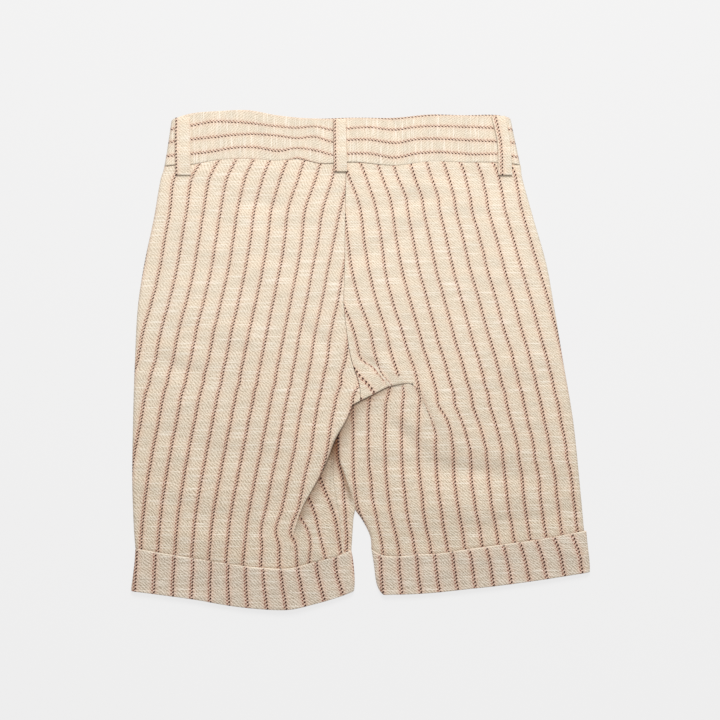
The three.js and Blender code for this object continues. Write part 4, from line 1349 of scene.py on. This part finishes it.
class SHORTS_OT_belt_loops(bpy.types.Operator):
    """Make the belt loops, doubled strips that stand a little free of the waistband"""

    bl_idname = "shorts.belt_loops"
    bl_label = "Belt loops"

    def execute(self, context):
        sizes, colours = context.scene.shorts_sizes, context.scene.shorts_colours
        material = cloth_material("loop cloth", colours.leg)
        thick = sizes.loop / MM
        for name, (node, edges, stripe) in LOOPS.items():
            left, right = curve(edges, "y", "left"), curve(edges, "y", "right")
            top, foot = edges["y"][0], edges["y"][-1]
            across, share = edge_rows(LOOP_WIDTH, thick, 12)
            down, end_share = edge_rows(top - foot, thick, 46)
            y = mix(top, foot, down[:, None]) + 0 * across[None, :]
            x = mix(left(y), right(y), across[None, :])
            half = thick / 2 * share[None, :] * end_share[:, None]
            low = smooth((band_seam(x) - 1 - y) / 5)
            base = mix(band_height(x, y, sizes), 4.1, low) + 0.15
            slack = sizes.loop_free / MM * np.sin(np.pi * down[:, None]) ** 0.8
            middle = base + thick / 2 + slack
            outer = np.stack([x, y, middle + half], axis=-1)
            inner = np.stack([x, y, middle - half], axis=-1)
            points, triangles = wall(outer, inner)
            place = np.concatenate([np.broadcast_to(across[None, :], x.shape).ravel()] * 2)
            number = (place - stripe) * LOOP_WIDTH / STRIPE_PITCH
            piece = make_piece(name, points, np.stack([number, points[:, 1]], axis=-1), triangles)
            finish_piece(piece, node, material)
        return {"FINISHED"}


class SHORTS_OT_turn_ups(bpy.types.Operator):
    """Make the turn-ups, flattened tubes of doubled cloth round the ends of the legs"""

    bl_idname = "shorts.turn_ups"
    bl_label = "Turn-ups"

    def execute(self, context):
        sizes, colours = context.scene.shorts_sizes, context.scene.shorts_colours
        # The turn-ups' cloth, its ground a little darker than the legs' as painted shade
        material = cloth_material("cuff cloth", colours.cuff_with_painted_shade)
        thick = sizes.doubled / MM
        parts, share = edge_rows(CUFF_DEPTH, thick, 26)
        part, half = parts[:, None], thick / 2 * share[:, None]
        for name, node, rows, sides, stripes, width in (
            ("left_turn_up", "cuff_left", LEFT_CUFF, LEFT_SIDES, LEFT_CUFF_STRIPES, 0.33),
            ("right_turn_up", "cuff_right", RIGHT_CUFF, RIGHT_SIDES, RIGHT_CUFF_STRIPES, 0.32),
        ):
            top, hem = curve(rows, "x", "top"), curve(rows, "x", "hem")
            low, high = (curve(CUFF_SIDES, "part", side)(part) for side in sides)

            def ring(offset):
                """The flattened tube's section at an offset from the middle of its wall."""
                start, end = low + CUFF_ROLL, high - CUFF_ROLL
                s = np.linspace(0, 1, 130)[None, :]
                turn = np.radians(np.linspace(0, 180, 13))[None, 1:-1]
                x_up = mix(end, start, s)
                across = (x_up - start) / (end - start)
                leg = lie(x_up, top(x_up), across, sizes)
                bulge = 0.8 * bell(x_up + 50, 16)
                upper = mix(leg + thick - 0.9, sizes.hem_lie / MM, smooth(part * 1.1))
                upper = upper + bulge - thick / 2
                radius = CUFF_ROLL - thick / 2 + offset

                def half_turn(place, side, height):
                    """The half round at a side edge, from the floor's side up or down again."""
                    middle = (thick / 2 + height) / 2
                    tall = (height - thick / 2) / 2 + offset
                    return place + side * radius * np.sin(turn), middle - side * tall * np.cos(turn)

                x, z = edge_out(
                    [
                        (mix(start, end, s), thick / 2 - offset),
                        half_turn(end, 1, upper[:, :1]),
                        (x_up, upper + offset),
                        half_turn(start, -1, upper[:, -1:]),
                    ]
                )
                return np.stack([x, mix(top(x), hem(x), part), z], axis=-1)

            outer, inner = ring(half), ring(-half)
            points, triangles = wall(outer, inner, ring=True)
            number = stripe_number(stripes)(points[:, 0], points[:, 1])
            # A painted highlight along the turn-ups' upper fold edge, stronger and weaker along it, kept as
            # edge values below 0
            highlight_share = bell(parts * CUFF_DEPTH, 0.75).repeat(outer.shape[1])
            edge = np.concatenate([highlight_share, highlight_share]) * (-0.42 - 0.25 * np.sin(points[:, 0] / 13 + 0.6))
            cloth = np.stack([number, points[:, 1]], axis=-1)
            piece = make_piece(name, points, cloth, triangles[:, ::-1], edge)
            finish_piece(piece, node, material)
        return {"FINISHED"}


class SHORTS_OT_stage(bpy.types.Operator):
    """Make the pale floor, the soft light from above and the camera that looks straight down"""

    bl_idname = "shorts.stage"
    bl_label = "Stage"

    def execute(self, context):
        scene, stage = context.scene, context.scene.shorts_stage
        scene.view_settings.view_transform = "Standard"
        # The weave is as fine as a pixel of the picture, and the denoiser would take it for noise
        scene.cycles.use_denoising = False
        mesh = bpy.data.meshes.new("floor")
        corners = ((-1, -1), (1, -1), (1, 1), (-1, 1))
        places = [(x * FLOOR_REACH, y * FLOOR_REACH, -FLOOR_DROP) for x, y in corners]
        mesh.from_pydata(places, [], [(0, 1, 2, 3)])
        floor = bpy.data.objects.new("floor", mesh)
        scene.collection.objects.link(floor)
        material = bpy.data.materials.new("pale floor")
        material.use_nodes = True
        shader = material.node_tree.nodes["Principled BSDF"]
        shader.inputs["Base Color"].default_value = (*stage.floor, 1)
        shader.inputs["Roughness"].default_value = 0.8
        shader.inputs["Specular IOR Level"].default_value = 0
        shader.inputs["Emission Color"].default_value = (1, 1, 1, 1)
        shader.inputs["Emission Strength"].default_value = stage.glow
        material.cycles.emission_sampling = "NONE"
        mesh.materials.append(material)

        world = bpy.data.worlds.new("studio")
        scene.world = world
        world.use_nodes = True
        back = world.node_tree.nodes["Background"]
        back.inputs["Color"].default_value = (1, 1, 1, 1)
        back.inputs["Strength"].default_value = stage.sky

        light = bpy.data.lights.new("key", "AREA")
        light.energy = stage.key
        light.size = KEY_SIZE
        light.color = (1, 0.99, 0.97)
        key = bpy.data.objects.new("key", light)
        key.location = KEY_PLACE
        aim = Vector((0, 0, 0)) - key.location
        key.rotation_euler = aim.to_track_quat("-Z", "Y").to_euler()
        scene.collection.objects.link(key)

        lens = bpy.data.cameras.new("camera")
        lens.lens = stage.lens
        lens.sensor_width = 36
        camera = bpy.data.objects.new("camera", lens)
        camera.location = (-0.000375, 0, stage.distance)
        scene.collection.objects.link(camera)
        scene.camera = camera
        return {"FINISHED"}


class SHORTS_PT_panel(bpy.types.Panel):
    """The pieces of the shorts, in the order in which they are made"""

    bl_idname = "SHORTS_PT_panel"
    bl_label = "Bermuda shorts"
    bl_space_type = "VIEW_3D"
    bl_region_type = "UI"
    bl_category = "Shorts"

    def draw(self, context):
        for operator in OPERATORS:
            self.layout.operator(operator.bl_idname)
        for settings in ("shorts_sizes", "shorts_colours", "shorts_stage"):
            box = self.layout.box()
            group = getattr(context.scene, settings)
            for name in group.__annotations__:
                box.prop(group, name)


OPERATORS = (
    SHORTS_OT_stage,
    SHORTS_OT_fronts,
    SHORTS_OT_backs,
    SHORTS_OT_waistband,
    SHORTS_OT_belt_loops,
    SHORTS_OT_turn_ups,
)
GROUPS = (ShortsSizes, ShortsColours, StageSettings)


def register():
    """Adds the classes and the settings to Blender."""
    for item in (*GROUPS, *OPERATORS, SHORTS_PT_panel):
        bpy.utils.register_class(item)
    bpy.types.Scene.shorts_sizes = bpy.props.PointerProperty(type=ShortsSizes)
    bpy.types.Scene.shorts_colours = bpy.props.PointerProperty(type=ShortsColours)
    bpy.types.Scene.shorts_stage = bpy.props.PointerProperty(type=StageSettings)


def unregister():
    """Takes them away again."""
    for name in ("shorts_sizes", "shorts_colours", "shorts_stage"):
        delattr(bpy.types.Scene, name)
    for item in reversed((*GROUPS, *OPERATORS, SHORTS_PT_panel)):
        bpy.utils.unregister_class(item)


def main():
    register()
    bpy.ops.shorts.stage()
    bpy.ops.shorts.fronts()
    bpy.ops.shorts.backs()
    bpy.ops.shorts.waistband()
    bpy.ops.shorts.belt_loops()
    bpy.ops.shorts.turn_ups()
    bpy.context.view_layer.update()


if __name__ == "__main__":
    main()
